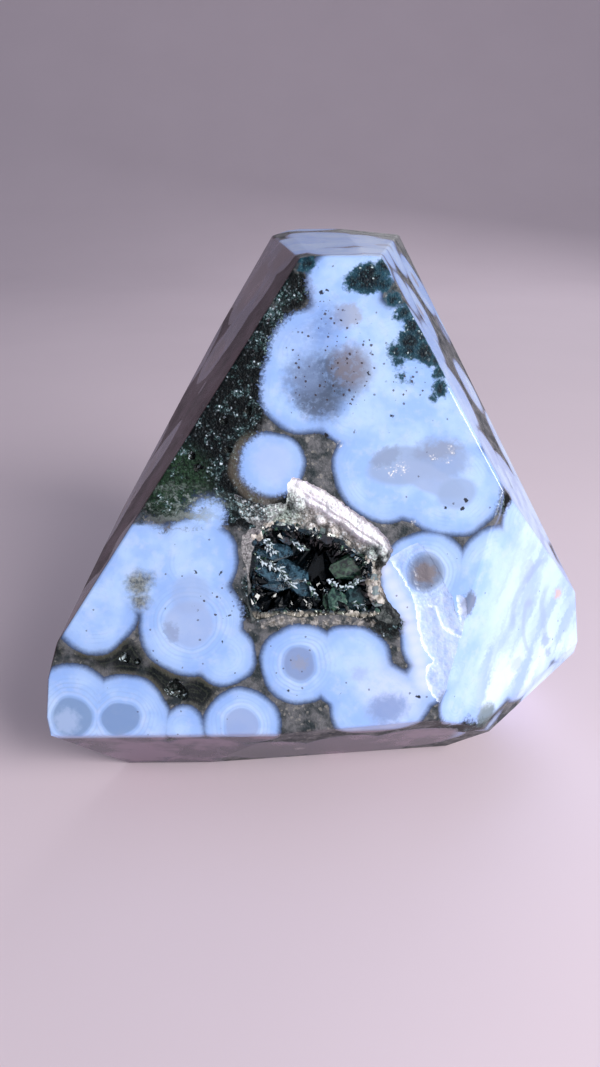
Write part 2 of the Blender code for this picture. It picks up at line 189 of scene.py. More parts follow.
# Pits: u, v, radius and how deep the centre lies.
PITS = (
    (-15.5, -19.2, 1.20, 0.25), (-14.4, -19.8, 0.7, 0.3), (-21.6, -15.4, 0.8, 0.35),
    (-20.1, -15.9, 0.6, 0.3),
    (-8.9, 10.4, 0.6, 0.3), (-12.6, 8.2, 0.7, 0.4), (-13.3, 9.6, 0.6, 0.3), (-6.4, 15.2, 0.6, 0.3),
    (-9.4, 14.0, 0.6, 0.3),
)
PIT_SEEDS = (5, 6)
RELIEF_SEED = 7
LEDGE_DEEPEST = 2.9
SUGAR_DEEPEST = 1.8
# Slopes beside the hollow: outline, depth, and the width over which it is reached.
SLOPES = ((RIGHT_SLOPE, 1.5, 2.6), (LEFT_SLOPE, 1.0, 2.2))
POLISHED, BROKEN, SPALLED = 0, 1, 2
noise.seed_set(RELIEF_SEED)


def face_matrix():
    """From the front facet's (u, v, w) in mm to metres in the part's frame."""
    outward = direction(-90.0, FRONT_LEAN)
    across = Vector((1.0, 0.0, 0.0))
    matrix = (Matrix((across, outward.cross(across), outward)).transposed() * MM).to_4x4()
    matrix.translation = FACE_POINT * MM
    return matrix


def inside_by(outline, u, v):
    """How far a point lies inside an outline (negative outside)."""
    nearest = 1e9
    within = False
    for (ua, va), (ub, vb) in zip(outline, outline[1:] + outline[:1]):
        du, dv = ub - ua, vb - va
        t = min(1.0, max(0.0, ((u - ua) * du + (v - va) * dv) / (du * du + dv * dv)))
        nearest = min(nearest, math.hypot(u - ua - t * du, v - va - t * dv))
        if (va > v) != (vb > v) and u < ua + (v - va) * du / dv:
            within = not within
    return nearest if within else -nearest


def beside(line, u, v):
    """Distance to the right of a line drawn from the top down, and the way to its nearer end."""
    nearest, offset, at, run = 1e9, 0.0, 0.0, 0.0
    for (ua, va), (ub, vb) in zip(line, line[1:]):
        du, dv = ub - ua, vb - va
        length = math.hypot(du, dv)
        t = min(1.0, max(0.0, ((u - ua) * du + (v - va) * dv) / (length * length)))
        far = math.hypot(u - ua - t * du, v - va - t * dv)
        right = (du * (v - va) - dv * (u - ua)) / length
        if far < nearest - 1e-9 or (far < nearest + 1e-9 and abs(right) > abs(offset)):
            nearest, offset, at = far, right, run + t * length
        run += length
    return math.copysign(nearest, offset), min(at, run - at)


def step_up(value, low, high):
    """Smooth step from 0 at low to 1 at high."""
    t = min(1.0, max(0.0, (value - low) / (high - low)))
    return t * t * (3.0 - 2.0 * t)


def uneven(u, v, rate, layer):
    """Smooth noise on the front facet, about -1 to 1."""
    return noise.noise(Vector((rate * u, rate * v, layer)))


def rubble(u, v, rate, layer, gap=2.1, octaves=4):
    """Rough noise on the front facet, with finer and finer octaves."""
    return noise.fractal(Vector((rate * u, rate * v, layer)), 1.0, gap, octaves)


def grain(u, v, size):
    """Height of a sugary surface: rounded grains of about one size, 0 to 1."""
    near = noise.voronoi(Vector((u / size, v / size, 0.7)))[0]
    return max(0.0, 1.0 - 1.3 * near[0]) ** 0.7


def ledge_depth(u, v):
    """Depth of the broken ledge, and the part of it that is only texture."""
    along = u * LEDGE_ALONG[0] + v * LEDGE_ALONG[1]
    across = u * LEDGE_ACROSS[0] + v * LEDGE_ACROSS[1] - LEDGE_TOP
    bend = 0.35 * noise.noise(Vector((0.5 * along, 0.3 * across, 3.0)))
    shelf = 0.40 + 0.13 * across + 0.75 * step_up(across + bend, 2.1, 2.7) + 0.60 * max(0.0, across - 2.6)
    shelf += 0.25 * step_up(across + bend, 1.45, 1.8)
    ridges = 1.3 * noise.noise(Vector((0.30 * along, 1.15 * across, 9.0)))
    ridges += 0.5 * noise.noise(Vector((0.6 * along, 2.9 * across, 4.0)))
    lumps = rubble(u, v, 0.9, 2.0)
    coarse = step_up(across, 1.6, 3.0)
    texture = (0.09 + 0.03 * coarse) * ridges + lumps * (0.10 + 0.22 * coarse) - 0.16 * grain(u, v, 0.55)
    depth = min(shelf, LEDGE_DEEPEST) + texture
    for nu, nv, centre, radius in LEDGE_NODULES:
        reach = radius * radius - (u - nu) ** 2 - (v - nv) ** 2
        if reach > 0.0:
            depth = min(depth, centre - math.sqrt(reach) + 0.10 * lumps)
    return depth, texture


def split_flakes(u, v):
    """Depth of the split flakes, and the nearness of the step that they broke from, 0 to 1."""
    flaked, at_step = 0.0, 0.0
    jag = 0.16 * uneven(u, v, 2.1, 2.0) + 0.10 * uneven(u, v, 5.5, 4.0)
    for line, start, run in FLAKES:
        right, to_end = beside(line, u, v)
        right += jag
        fading = step_up(to_end, -0.2, 1.2)
        if -0.1 < right < 1.0:
            wide = 0.55 + 0.9 * max(-0.4, uneven(u, v, 0.7, 11.0))
            strip = step_up(right, -0.1, 0.0) * (1.0 - step_up(right, 0.12, 0.12 + wide))
            at_step = max(at_step, strip * fading)
        if 0.0 < right < run:
            flaked += start * (1.0 - right / run) ** 1.3 * step_up(right, 0.0, 0.14) * fading
    return flaked, at_step


def rising_from_facet(cut, inner, width):
    """Bring a cut up to just above the facet where it reaches its outline."""
    return (cut + CLEAR_OF_FACET) * step_up(inner, -0.05, width) - CLEAR_OF_FACET


def relief(u, v):
    """Depth of the breaks below the polished facet (negative where it is whole), texture and kind."""
    depth, texture, kind = -CLEAR_OF_FACET, 0.0, POLISHED
    fringe = 0.16 * uneven(u, v, 1.7, 5.0) + 0.08 * uneven(u, v, 4.5, 1.0)
    flaked, at_step = split_flakes(u, v)
    if flaked > 0.0:
        ripple = 0.05 * math.sin(2.6 * (0.93 * u + 0.2 * v) + 2.0 * uneven(u, v, 0.3, 8.0))
        ripple += 0.05 * rubble(u, v, 1.6, 6.0, 2.0, 3)
        lifted = CLEAR_OF_FACET * (1.0 - step_up(flaked, 0.0, 0.06))
        depth = flaked + ripple * step_up(flaked, 0.0, 0.25) - lifted
        texture, kind = -at_step, SPALLED
    for outline, deepest, reach in SLOPES:
        inner = inside_by(outline, u, v) + fringe
        if inner > -0.4:
            rough = 0.20 * rubble(u, v, 1.1, 7.0) - 0.10 * grain(u, v, 0.45)
            cut = deepest * step_up(inner, 0.0, reach) + rough * step_up(inner, 0.0, 0.5) + 0.08
            cut = rising_from_facet(cut, inner, 0.25)
            if cut > depth:
                depth, texture, kind = cut, rough, BROKEN
    inner = inside_by(SUGAR, u, v) + 1.5 * fringe
    if inner > -0.4:
        sugar = 0.35 * grain(u, v, 0.62) + 0.15 * grain(u + 3.0, v, 0.30)
        slope = 0.30 + 0.20 * step_up(inner, 0.0, 1.0) + 0.22 * max(0.0, 3.4 - v + 0.15 * u)
        cut = min(slope, SUGAR_DEEPEST) + 0.30 - sugar + 0.22 * rubble(u, v, 0.8, 1.0, 2.0, 3)
        cut = rising_from_facet(cut, inner, 0.35)
        if cut > depth:
            depth, texture, kind = cut, 0.25 - sugar, BROKEN
    inner = inside_by(LEDGE, u, v) + fringe
    if inner > -0.4:
        ledge, rough = ledge_depth(u, v)
        cut = rising_from_facet(ledge, inner, 0.20)
        if cut > depth or inner > 0.3:
            depth, texture, kind = cut, rough, BROKEN
    return depth, texture, kind


def carve(target, cutter):
    """Cut one closed mesh, drawn in the front facet's frame, out of the target."""
    bmesh.ops.transform(cutter, matrix=face_matrix(), verts=cutter.verts)
    bmesh.ops.recalc_face_normals(cutter, faces=cutter.faces)
    tool_mesh = bpy.data.meshes.new("cutter")
    cutter.to_mesh(tool_mesh)
    cutter.free()
    tool = bpy.data.objects.new("cutter", tool_mesh)
    bpy.context.scene.collection.objects.link(tool)
    modifier = target.modifiers.new("carve", "BOOLEAN")
    modifier.object = tool
    modifier.operation = "DIFFERENCE"
    modifier.solver = "EXACT"
    shape = target.evaluated_get(bpy.context.evaluated_depsgraph_get())
    carved = bpy.data.meshes.new_from_object(shape)
    target.modifiers.clear()
    used = target.data
    target.data = carved
    carved.name = used.name + "_carved"
    bpy.data.meshes.remove(used)
    bpy.data.objects.remove(tool)
    bpy.data.meshes.remove(tool_mesh)


def relief_cutter():
    """A slab whose underside follows the breaks and elsewhere stays just above the facet."""
    width = RELIEF_HIGH[0] - RELIEF_LOW[0]
    height = RELIEF_HIGH[1] - RELIEF_LOW[1]
    columns = round(width / RELIEF_STEP)
    rows = round(height / RELIEF_STEP)
    bm = bmesh.new()
    bmesh.ops.create_grid(bm, x_segments=columns, y_segments=rows, size=0.5)
    centre = (0.5 * (RELIEF_LOW[0] + RELIEF_HIGH[0]), 0.5 * (RELIEF_LOW[1] + RELIEF_HIGH[1]))
    kinds = {}
    for vert in bm.verts:
        u = centre[0] + vert.co.x * width
        v = centre[1] + vert.co.y * height
        depth, _, kind = relief(u, v)
        kinds[vert] = kind
        vert.co = (u, v, -depth)
    for face in bm.faces:
        face.material_index = max(kinds[vert] for vert in face.verts)
    bmesh.ops.triangulate(bm, faces=bm.faces)
    rim = [edge for edge in bm.edges if edge.is_boundary]
    raised = bmesh.ops.extrude_edge_only(bm, edges=rim)["geom"]
    for item in raised:
        if isinstance(item, bmesh.types.BMVert):
            item.co.z = STAND_OUT
    top = [item for item in raised if isinstance(item, bmesh.types.BMEdge)]
    bmesh.ops.edgeloop_fill(bm, edges=[edge for edge in top if edge.is_boundary])
    return bm


def smooth_outline(points, count):
    """A closed curve through the points, as evenly spaced steps of its parameter."""
    curve = []
    total = len(points)
    for i in range(count):
        at = i * total / count
        k = int(at)
        t = at - k
        p0, p1, p2, p3 = (Vector(points[(k + j) % total]) for j in (-1, 0, 1, 2))
        curve.append(
            0.5 * ((2.0 * p1) + (p2 - p0) * t + (2.0 * p0 - 5.0 * p1 + 4.0 * p2 - p3) * t * t
                   + (3.0 * p1 - p0 - 3.0 * p2 + p3) * t * t * t)
        )
    return curve


def grown_from(vert, fresh):
    """The new vertex that an old one was extruded to."""
    return next(edge.other_vert(vert) for edge in vert.link_edges if edge.other_vert(vert) in fresh)


def hollow(rings, inset, rough, around):
    """The hollow as a closed solid: a tube extruded ring by ring down from its mouth."""
    outline = smooth_outline(VUG_MOUTH, around)
    centre = sum(outline, Vector((0.0, 0.0))) / around
    arms = [point - centre for point in outline]
    bm = bmesh.new()
    bmesh.ops.create_circle(bm, cap_ends=False, segments=around, radius=1.0)
    bm.verts.ensure_lookup_table()
    loop = bm.verts[:]
    edges = bm.edges[:]
    lids = [edges]
    for number, (depth, scale, shift_u, shift_v) in enumerate(rings):
        if number:
            grown = bmesh.ops.extrude_edge_only(bm, edges=edges)["geom"]
            edges = [item for item in grown if isinstance(item, bmesh.types.BMEdge) and item.is_boundary]
            fresh = {item for item in grown if isinstance(item, bmesh.types.BMVert)}
            loop = [grown_from(vert, fresh) for vert in loop]
        for vert, arm in zip(loop, arms):
            side = arm * (scale * (arm.length - inset) / arm.length)
            spot = Vector((centre.x + side.x + shift_u, centre.y + side.y + shift_v, depth))
            wander = noise.noise_vector(spot * 0.45) + 0.45 * noise.noise_vector(spot * 1.4)
            vert.co = spot + wander * rough
    lids.append(edges)
    for lid in lids:
        bmesh.ops.edgeloop_fill(bm, edges=lid)
    bmesh.ops.recalc_face_normals(bm, faces=bm.faces)
    return bm


def pits_cutter(pits, seed):
    """Small open pits, clear of each other, as uneven pebbles standing half in the facet."""
    jitter = random.Random(seed)
    bm = bmesh.new()
    for u, v, radius, depth in pits:
        made = bmesh.ops.create_icosphere(bm, subdivisions=3, radius=radius)["verts"]
        for vert in made:
            bulge = 0.35 * noise.noise(vert.co * 1.8 + Vector((u, v, 0.0)))
            vert.co *= 1.0 + bulge + jitter.uniform(-0.05, 0.05)
        bmesh.ops.translate(bm, vec=(u, v, -depth), verts=made)
    for face in bm.faces:
        face.material_index = BROKEN
    return bm


for number in (POLISHED, BROKEN, SPALLED):
    stone.data.materials.append(bpy.data.materials.new(f"stone_{number}"))
carve(stone, relief_cutter())
vug_cutter = hollow(VUG_RINGS, 0.0, VUG_ROUGHNESS, VUG_AROUND)
for face in vug_cutter.faces:
    face.material_index = BROKEN
carve(stone, vug_cutter)
for first_pit, seed in enumerate(PIT_SEEDS):
    carve(stone, pits_cutter(PITS[first_pit::2], seed))

# How deep each broken point lies and whether it is a crest or a cleft, for painted light on the crests,
# painted shade in the clefts and a painted highlight along the flakes' step.
to_face = face_matrix().inverted()
relief_light_layer = stone.data.attributes.new("relief_light_and_shade", "FLOAT", "POINT")
for vert in stone.data.vertices:
    spot = to_face @ vert.co
    in_relief = RELIEF_LOW[0] < spot.x < RELIEF_HIGH[0] and RELIEF_LOW[1] < spot.y < RELIEF_HIGH[1]
    height = 0.0
    if in_relief and -4.0 < spot.z < -0.02:
        height = -relief(spot.x, spot.y)[1]
    relief_light_layer.data[vert.index].value = height

# Which facets face left, for the painted mauve shade and reflection on them.
left_shade_layer = stone.data.attributes.new("left_painted_shade", "FLOAT", "FACE")
for face in stone.data.polygons:
    left_shade_layer.data[face.index].value = step_up(face.normal.dot(direction(170.0, 0.0)), 0.35, 0.65)

# The stone: its pattern of orbs, matrix and moss.
# Blue-white chalcedony orbs grew around grey cores and met in scalloped lines. Brown-grey matrix and
# dark green, sugary moss fill what they left. The pattern runs through the stone, so it is drawn in 3D.


def srgb(red, green, blue):
    """Linear colour from 0-255 display values."""
    def linear(value):
        value /= 255.0
        return value / 12.92 if value <= 0.04045 else ((value + 0.055) / 1.055) ** 2.4

    return (linear(red), linear(green), linear(blue), 1.0)


class Graph:
    """Short names for building one material's nodes."""

    def __init__(self, material):
        material.use_nodes = True
        self.nodes = material.node_tree.nodes
        self.links = material.node_tree.links
        self.nodes.clear()

    def node(self, kind, inputs, **settings):
        made = self.nodes.new(kind)
        for key, value in settings.items():
            setattr(made, key, value)
        for key, value in inputs.items():
            if isinstance(value, bpy.types.NodeSocket):
                self.links.new(value, made.inputs[key])
            elif value is not None:
                made.inputs[key].default_value = value
        return made

    def math(self, operation, a, b=None, c=None):
        return self.node("ShaderNodeMath", {0: a, 1: b, 2: c}, operation=operation).outputs[0]

    def plus(self, a, b):
        return self.math("ADD", a, b)

    def minus(self, a, b):
        return self.math("SUBTRACT", a, b)

    def times(self, a, b):
        return self.math("MULTIPLY", a, b)

    def larger(self, a, b):
        return self.math("MAXIMUM", a, b)

    def vector(self, operation, a, b=None, scale=None):
        made = self.node("ShaderNodeVectorMath", {0: a, 1: b, "Scale": scale}, operation=operation)
        return made.outputs["Value" if operation in ("DISTANCE", "LENGTH") else "Vector"]

    def far(self, place, spot):
        return self.vector("DISTANCE", place, spot)

    def nudged(self, place, shift, size):
        return self.vector("ADD", place, self.vector("SCALE", shift, scale=size))

    def ramp(self, value, low, high, start=0.0, end=1.0):
        inputs = {"Value": value, "From Min": low, "From Max": high, "To Min": start, "To Max": end}
        return self.node("ShaderNodeMapRange", inputs, interpolation_type="SMOOTHSTEP").outputs["Result"]

    def mix(self, factor, a, b, blend="MIX"):
        """Two colours mixed; a colour given as three numbers is in 0-255 display values."""
        a, b = (srgb(*colour) if isinstance(colour, tuple) else colour for colour in (a, b))
        made = self.node("ShaderNodeMix", {0: factor, 6: a, 7: b}, data_type="RGBA", blend_type=blend)
        return made.outputs[2]

    def noise(self, place, scale, detail=2.0, roughness=0.5, output="Fac"):
        inputs = {"Vector": place, "Scale": scale, "Detail": detail, "Roughness": roughness}
        return self.node("ShaderNodeTexNoise", inputs).outputs[output]

    def cells(self, place, scale, feature="F1"):
        return self.node("ShaderNodeTexVoronoi", {"Vector": place, "Scale": scale}, feature=feature)

    def pick(self, cells, number):
        """One of each cell's three random numbers."""
        return self.node("ShaderNodeSeparateColor", {0: cells.outputs["Color"]}).outputs[number]

    def attribute(self, name):
        return self.node("ShaderNodeAttribute", {}, attribute_name=name).outputs["Fac"]

    def axes(self, place):
        return self.node("ShaderNodeSeparateXYZ", {0: place}).outputs[:3]

    def local(self, place, turn, scale, centre=None, kind="TEXTURE"):
        """The place as seen from a centre, turned by degrees and divided by a scale."""
        rotation = (0.0, 0.0, math.radians(turn))
        inputs = {"Vector": place, "Location": centre, "Rotation": rotation, "Scale": scale}
        return self.node("ShaderNodeMapping", inputs, vector_type=kind).outputs["Vector"]

    def nearest(self, place, blobs):
        """Distance to the nearest of some spheres (u, v, w, radius, blend), negative inside."""
        field = None
        for u, v, w, radius, blend in blobs:
            off = self.minus(self.far(place, (u, v, w)), radius)
            if field is None:
                field = off
            elif blend:
                field = self.math("SMOOTH_MIN", field, off, blend)
            else:
                field = self.math("MINIMUM", field, off)
        return field

    def face_place(self):
        """Object coordinates turned into the front facet's (u, v, w), in mm."""
        place = self.node("ShaderNodeTexCoord", {}).outputs["Object"]
        place = self.vector("SUBTRACT", place, tuple(FACE_POINT * MM))
        rotation = (math.radians(FRONT_LEAN - 90.0), 0.0, 0.0)
        inputs = {"Vector": place, "Rotation": rotation, "Scale": (1 / MM,) * 3}
        return self.node("ShaderNodeMapping", inputs).outputs["Vector"]


# Spheres that make a field: place (u, v, w), w negative below the facet, radius, blend into the rest.
ORBS = (
    (5.6, 30.7, 0.0, 4.7, 0.0), (1.2, 22.6, 0.0, 5.0, 1.0), (0.6, 18.3, 0.0, 5.7, 1.0),
    (6.2, 23.3, -1.0, 6.8, 1.0),
    (7.4, 17.7, -1.0, 6.8, 1.0), (10.5, 15.2, -1.5, 6.4, 1.0), (17.3, 14.0, -1.5, 6.4, 1.0),
    (12.4, 22.6, -1.0, 5.8, 1.0), (9.3, 33.5, 0.0, 3.1, 1.0), (15.0, 20.0, -3.0, 6.0, 1.0),
    (10.5, 8.0, 0.0, 6.4, 0.6), (18.8, 5.8, 0.0, 6.2, 0.6), (14.0, 4.8, 0.0, 3.1, 0.4),
    (-3.6, 8.5, 0.0, 4.1, 0.0),
    (15.5, -4.8, 0.0, 5.0, 0.0), (25.4, -5.2, 0.0, 6.2, 0.0), (14.8, -6.4, 0.0, 4.7, 0.4),
    (17.3, -13.2, 0.0, 4.7, 0.4), (15.5, -18.4, 0.0, 2.8, 0.4), (22.0, -11.0, -2.0, 6.5, 0.8),
    (0.0, -16.1, 0.0, 4.85, 0.0), (6.2, -16.7, 0.0, 5.2, 0.0), (9.3, -21.3, 0.0, 5.6, 0.6),
    (12.6, -20.8, 0.0, 3.4, 0.6), (20.2, -21.4, -2.0, 3.3, 0.0),
    (-13.6, -11.0, 0.0, 6.4, 0.0), (-9.3, -15.1, 0.0, 3.7, 0.6), (-13.0, -3.3, 0.0, 5.2, 1.2),
    (-19.2, -3.1, 0.0, 4.7, 1.0), (-22.5, -6.4, 0.0, 3.2, 0.6), (-11.5, 2.0, 0.0, 2.5, 0.8),
    (-20.3, -5.6, 0.0, 4.2, 0.8), (-25.4, -9.8, 0.0, 5.0, 0.0), (-28.2, -22.0, 0.0, 5.7, 0.0),
    (-22.0, -23.4, 0.0, 5.9, 0.0),
    (-14.4, -24.1, 0.0, 2.7, 0.0), (-7.1, -24.1, 0.0, 4.8, 0.0),
    (28.5, -9.5, -7.0, 9.0, 0.8), (24.0, -18.5, -5.0, 6.2, 0.8), (33.5, -11.0, -12.0, 7.5, 0.8),
    (30.5, -17.0, -9.5, 6.0, 0.8), (18.8, -17.4, -0.5, 2.7, 0.5), (31.0, -3.0, -8.0, 6.2, 0.8),
    (27.5, 2.0, -5.0, 4.6, 0.4), (24.0, 8.5, -4.5, 5.0, 0.4),
    (12.0, 30.0, -5.5, 4.0, 0.4), (19.5, 17.0, -5.5, 5.0, 0.4),
    (3.0, 40.5, -12.5, 5.6, 0.4), (8.5, 42.0, -17.0, 5.5, 0.4), (3.0, 44.5, -22.0, 5.0, 0.4),
    (4.6, 36.2, -4.4, 4.0, 0.4), (0.4, 36.4, -6.4, 3.6, 0.4), (9.4, 36.2, -6.0, 3.8, 0.4),
    (16.0, 24.5, -6.2, 3.8, 0.4),
    (-6.0, 38.0, -16.0, 5.0, 0.4),
    (-22.5, -28.0, -6.5, 6.5, 0.0), (-12.5, -28.5, -6.5, 5.6, 0.6), (-4.0, -29.5, -9.0, 5.2, 0.6),
    (6.0, -29.0, -10.0, 6.0, 0.0), (15.5, -27.5, -9.5, 5.8, 0.6),
)
GREEN = (
    (-1.2, 30.1, 0.0, 2.5, 0.0), (-3.1, 25.1, 0.0, 3.1, 1.0), (-6.2, 20.2, 0.0, 4.3, 1.0),
    (-9.3, 15.2, 0.0, 5.0, 1.0), (-12.4, 10.3, 0.0, 5.6, 1.0), (-16.7, 5.3, 0.0, 3.7, 1.0),
    (-6.8, 10.3, 0.0, 2.4, 0.5), (-8.0, 4.1, 0.0, 3.2, 1.0), (-1.6, 2.8, 0.0, 2.0, 0.5),
    (25.9, 3.7, 0.0, 1.5, 0.0), (20.5, -25.2, -5.0, 4.2, 0.0), (17.2, -25.4, -1.0, 1.8, 0.5),
    (9.6, -9.6, 0.0, 2.1, 0.0), (11.2, -11.2, 0.0, 1.7, 0.5),
    (-6.0, -6.4, 0.0, 1.2, 0.0), (-6.0, -9.4, 0.0, 1.5, 0.5), (-6.2, 2.4, 0.0, 2.0, 0.5),
)
CHANNEL = (
    (-30.0, -14.6, 0.0, 0.9, 0.0), (-27.0, -14.8, 0.0, 1.1, 0.5), (-24.5, -15.2, 0.0, 1.6, 0.5),
    (-21.5, -15.4, 0.0, 2.3, 0.5), (-17.0, -17.6, 0.0, 2.6, 0.5), (-12.6, -19.4, 0.0, 2.3, 0.5),
)
DRUSE = (
    (-6.9, 12.2, 0.0, 1.3, 0.0), (-7.4, 9.6, 0.0, 1.5, 0.5), (-7.0, 6.8, 0.0, 1.4, 0.5),
    (-9.2, 3.4, 0.0, 1.5, 0.5),
    (-3.3, 27.0, 0.0, 1.4, 0.0), (-2.3, 29.4, 0.0, 1.2, 0.5), (-5.0, 24.0, 0.0, 1.0, 0.5),
    (-13.5, 14.5, 0.0, 1.0, 0.0),
)
CRUST_LINE = (
    (-4.6, -11.4, 0.0, 0.5, 0.0), (-3.4, -11.1, 0.0, 0.5, 0.3), (-2.2, -10.8, 0.0, 0.5, 0.3),
    (-1.0, -10.7, 0.0, 0.45, 0.3),
    (0.4, -10.7, 0.0, 0.4, 0.3), (1.8, -10.9, 0.0, 0.45, 0.3), (3.2, -11.0, 0.0, 0.4, 0.3),
    (4.6, -10.8, 0.0, 0.45, 0.3),
    (6.0, -10.7, 0.0, 0.4, 0.3), (7.4, -10.9, 0.0, 0.4, 0.3), (8.8, -11.0, 0.0, 0.4, 0.3),
)
PALE = (
    (10.9, -4.6, 0.0, 0.9, 0.0), (11.6, -6.2, 0.0, 1.0, 0.8), (12.3, -7.4, 0.0, 1.0, 0.8),
    (12.9, -8.8, 0.0, 1.1, 0.8),
    (13.4, -10.2, 0.0, 1.0, 0.8), (13.9, -11.6, 0.0, 1.1, 0.8), (14.3, -13.0, 0.0, 1.0, 0.8),
    (14.6, -14.4, 0.0, 1.1, 0.8),
    (14.9, -15.8, 0.0, 1.0, 0.8), (15.0, -17.2, 0.0, 0.9, 0.8), (15.2, -18.6, 0.0, 0.8, 0.8),
)
# Painted glints: white highlights on small crystals and chips in the grey cores.
PAINTED_GLINTS = (
    (11.4, 7.7, 0.0, 0.7, 0.0), (12.6, 8.1, 0.0, 0.8, 0.3), (9.6, 8.4, 0.0, 0.35, 0.0),
    (16.6, 9.3, 0.0, 0.4, 0.0),
    (18.2, 9.0, 0.0, 0.45, 0.0), (18.6, 10.4, 0.0, 0.4, 0.0), (14.2, 1.35, 0.0, 0.5, 0.0),
    (4.9, 11.0, 0.0, 0.4, 0.0),
)
MOSS = (
    (8.4, 31.6, 0.0, 2.1, 0.0), (10.5, 33.0, 0.0, 1.3, 0.3), (6.6, 31.2, 0.0, 1.3, 0.3),
    (10.3, 31.0, 0.0, 1.2, 0.3),
    (11.5, 29.0, 0.0, 1.1, 0.3), (12.9, 27.3, 0.0, 1.2, 0.3), (13.9, 25.7, 0.0, 1.3, 0.3),
    (13.6, 23.9, 0.0, 1.6, 0.3),
    (15.1, 24.5, 0.0, 1.3, 0.3), (15.5, 22.4, 0.0, 1.6, 0.3), (16.8, 21.4, 0.0, 1.1, 0.3),
    (13.4, 22.6, 0.0, 1.3, 0.3),
    (11.8, 22.6, 0.0, 1.1, 0.3), (12.1, 21.2, 0.0, 0.8, 0.3), (12.6, 19.4, 0.0, 0.6, 0.0),
    (13.6, 18.7, 0.0, 0.35, 0.0),
    (17.3, 19.9, 0.0, 1.0, 0.3), (17.4, 17.9, 0.0, 1.1, 0.3), (16.5, 16.7, 0.0, 0.6, 0.3),
    (0.9, 33.4, 0.0, 1.2, 0.0),
    (11.8, 26.9, 0.0, 0.5, 0.0),
)
EARTH = (
    (-20.0, -6.2, 0.0, 1.6, 0.0), (-19.8, -8.4, 0.0, 1.2, 0.3), (-18.9, -5.7, 0.0, 0.9, 0.3),
)
TARGETS = (
    (15.5, -4.8, 0.0, 2.3, 0.0), (0.0, -16.1, 0.0, 2.1, 0.0), (-7.2, -23.8, 0.0, 2.1, 0.0),
    (-13.6, -11.0, 0.0, 3.3, 0.0), (-28.2, -22.6, 0.0, 2.5, 0.0), (-22.3, -22.9, 0.0, 2.3, 0.0),
)
# Cores: centre u, v, half sizes, turn in degrees, softness, display colour, strength.
CORES = (
    (12.4, 8.3, 4.0, 2.4, 6.0, 0.18, (150, 168, 202), 0.8),
    (17.4, 9.2, 3.6, 2.7, 0.0, 0.30, (146, 164, 200), 0.8),
    (16.2, 6.6, 4.4, 1.7, -24.0, 0.18, (158, 176, 212), 0.8),
    (19.4, 5.0, 2.5, 2.0, 20.0, 0.2, (152, 172, 208), 0.8),
    (10.6, 9.6, 1.9, 1.0, 20.0, 0.30, (138, 152, 182), 0.6),
    (17.2, 10.2, 2.6, 0.9, 10.0, 0.45, (142, 150, 172), 0.6),
    (3.2, 19.0, 4.3, 3.4, 15.0, 0.50, (60, 76, 100), 0.95),
    (2.4, 16.4, 2.8, 2.3, -30.0, 0.50, (82, 94, 118), 0.9),
    (6.4, 20.6, 2.4, 2.6, 30.0, 0.50, (124, 120, 132), 0.85),
    (0.6, 19.6, 2.4, 2.4, 0.0, 0.60, (126, 146, 186), 0.7),
    (0.4, 24.2, 3.0, 2.4, 0.0, 0.70, (140, 168, 222), 0.6),
    (5.9, 27.0, 1.7, 1.5, 0.0, 0.30, (160, 164, 184), 0.75),
    (0.6, 30.4, 1.1, 2.8, 14.0, 0.35, (120, 122, 144), 0.75),
    (3.4, 26.0, 1.8, 2.6, -30.0, 0.75, (104, 132, 188), 0.65),
    (-3.3, 8.7, 2.6, 2.6, 0.0, 0.40, (178, 196, 236), 0.7),
    (15.5, -4.8, 2.3, 2.3, 0.0, 0.22, (112, 122, 146), 0.85),
    (15.5, -4.9, 1.3, 1.3, 0.0, 0.45, (128, 116, 114), 0.8),
    (20.9, -8.8, 1.0, 1.6, -15.0, 0.30, (104, 114, 138), 0.85),
    (-13.5, -7.4, 2.4, 2.4, 0.0, 0.22, (156, 178, 222), 0.6),
    (-13.6, -11.2, 3.1, 3.0, 0.0, 0.14, (160, 178, 220), 0.65),
    (-16.0, -12.2, 0.8, 1.3, 25.0, 0.40, (138, 150, 184), 0.6),
    (-28.2, -22.6, 2.5, 2.5, 0.0, 0.10, (122, 148, 188), 0.85),
    (-28.9, -23.3, 1.5, 1.5, 0.0, 0.45, (168, 188, 226), 0.85),
    (-22.3, -22.9, 2.3, 2.2, 0.0, 0.10, (120, 146, 190), 0.85),
    (-7.2, -23.8, 2.1, 2.0, 0.0, 0.12, (150, 168, 212), 0.8),
    (0.0, -16.1, 2.1, 2.1, 0.0, 0.16, (130, 148, 190), 0.85),
    (0.0, -16.1, 0.9, 0.9, 0.0, 0.45, (152, 154, 172), 0.6),
    (12.0, -19.4, 4.4, 3.4, -20.0, 0.70, (204, 216, 252), 0.8),
    # The next core is a painted bluish shadow beside the flakes' step.
    (16.4, -17.9, 0.4, 1.3, -10.0, 0.40, (112, 152, 204), 0.7),
    (7.3, -17.3, 1.0, 0.8, 0.0, 0.60, (164, 182, 232), 0.7),
    (10.8, -21.7, 2.4, 1.7, 10.0, 0.45, (134, 154, 202), 0.85),
)
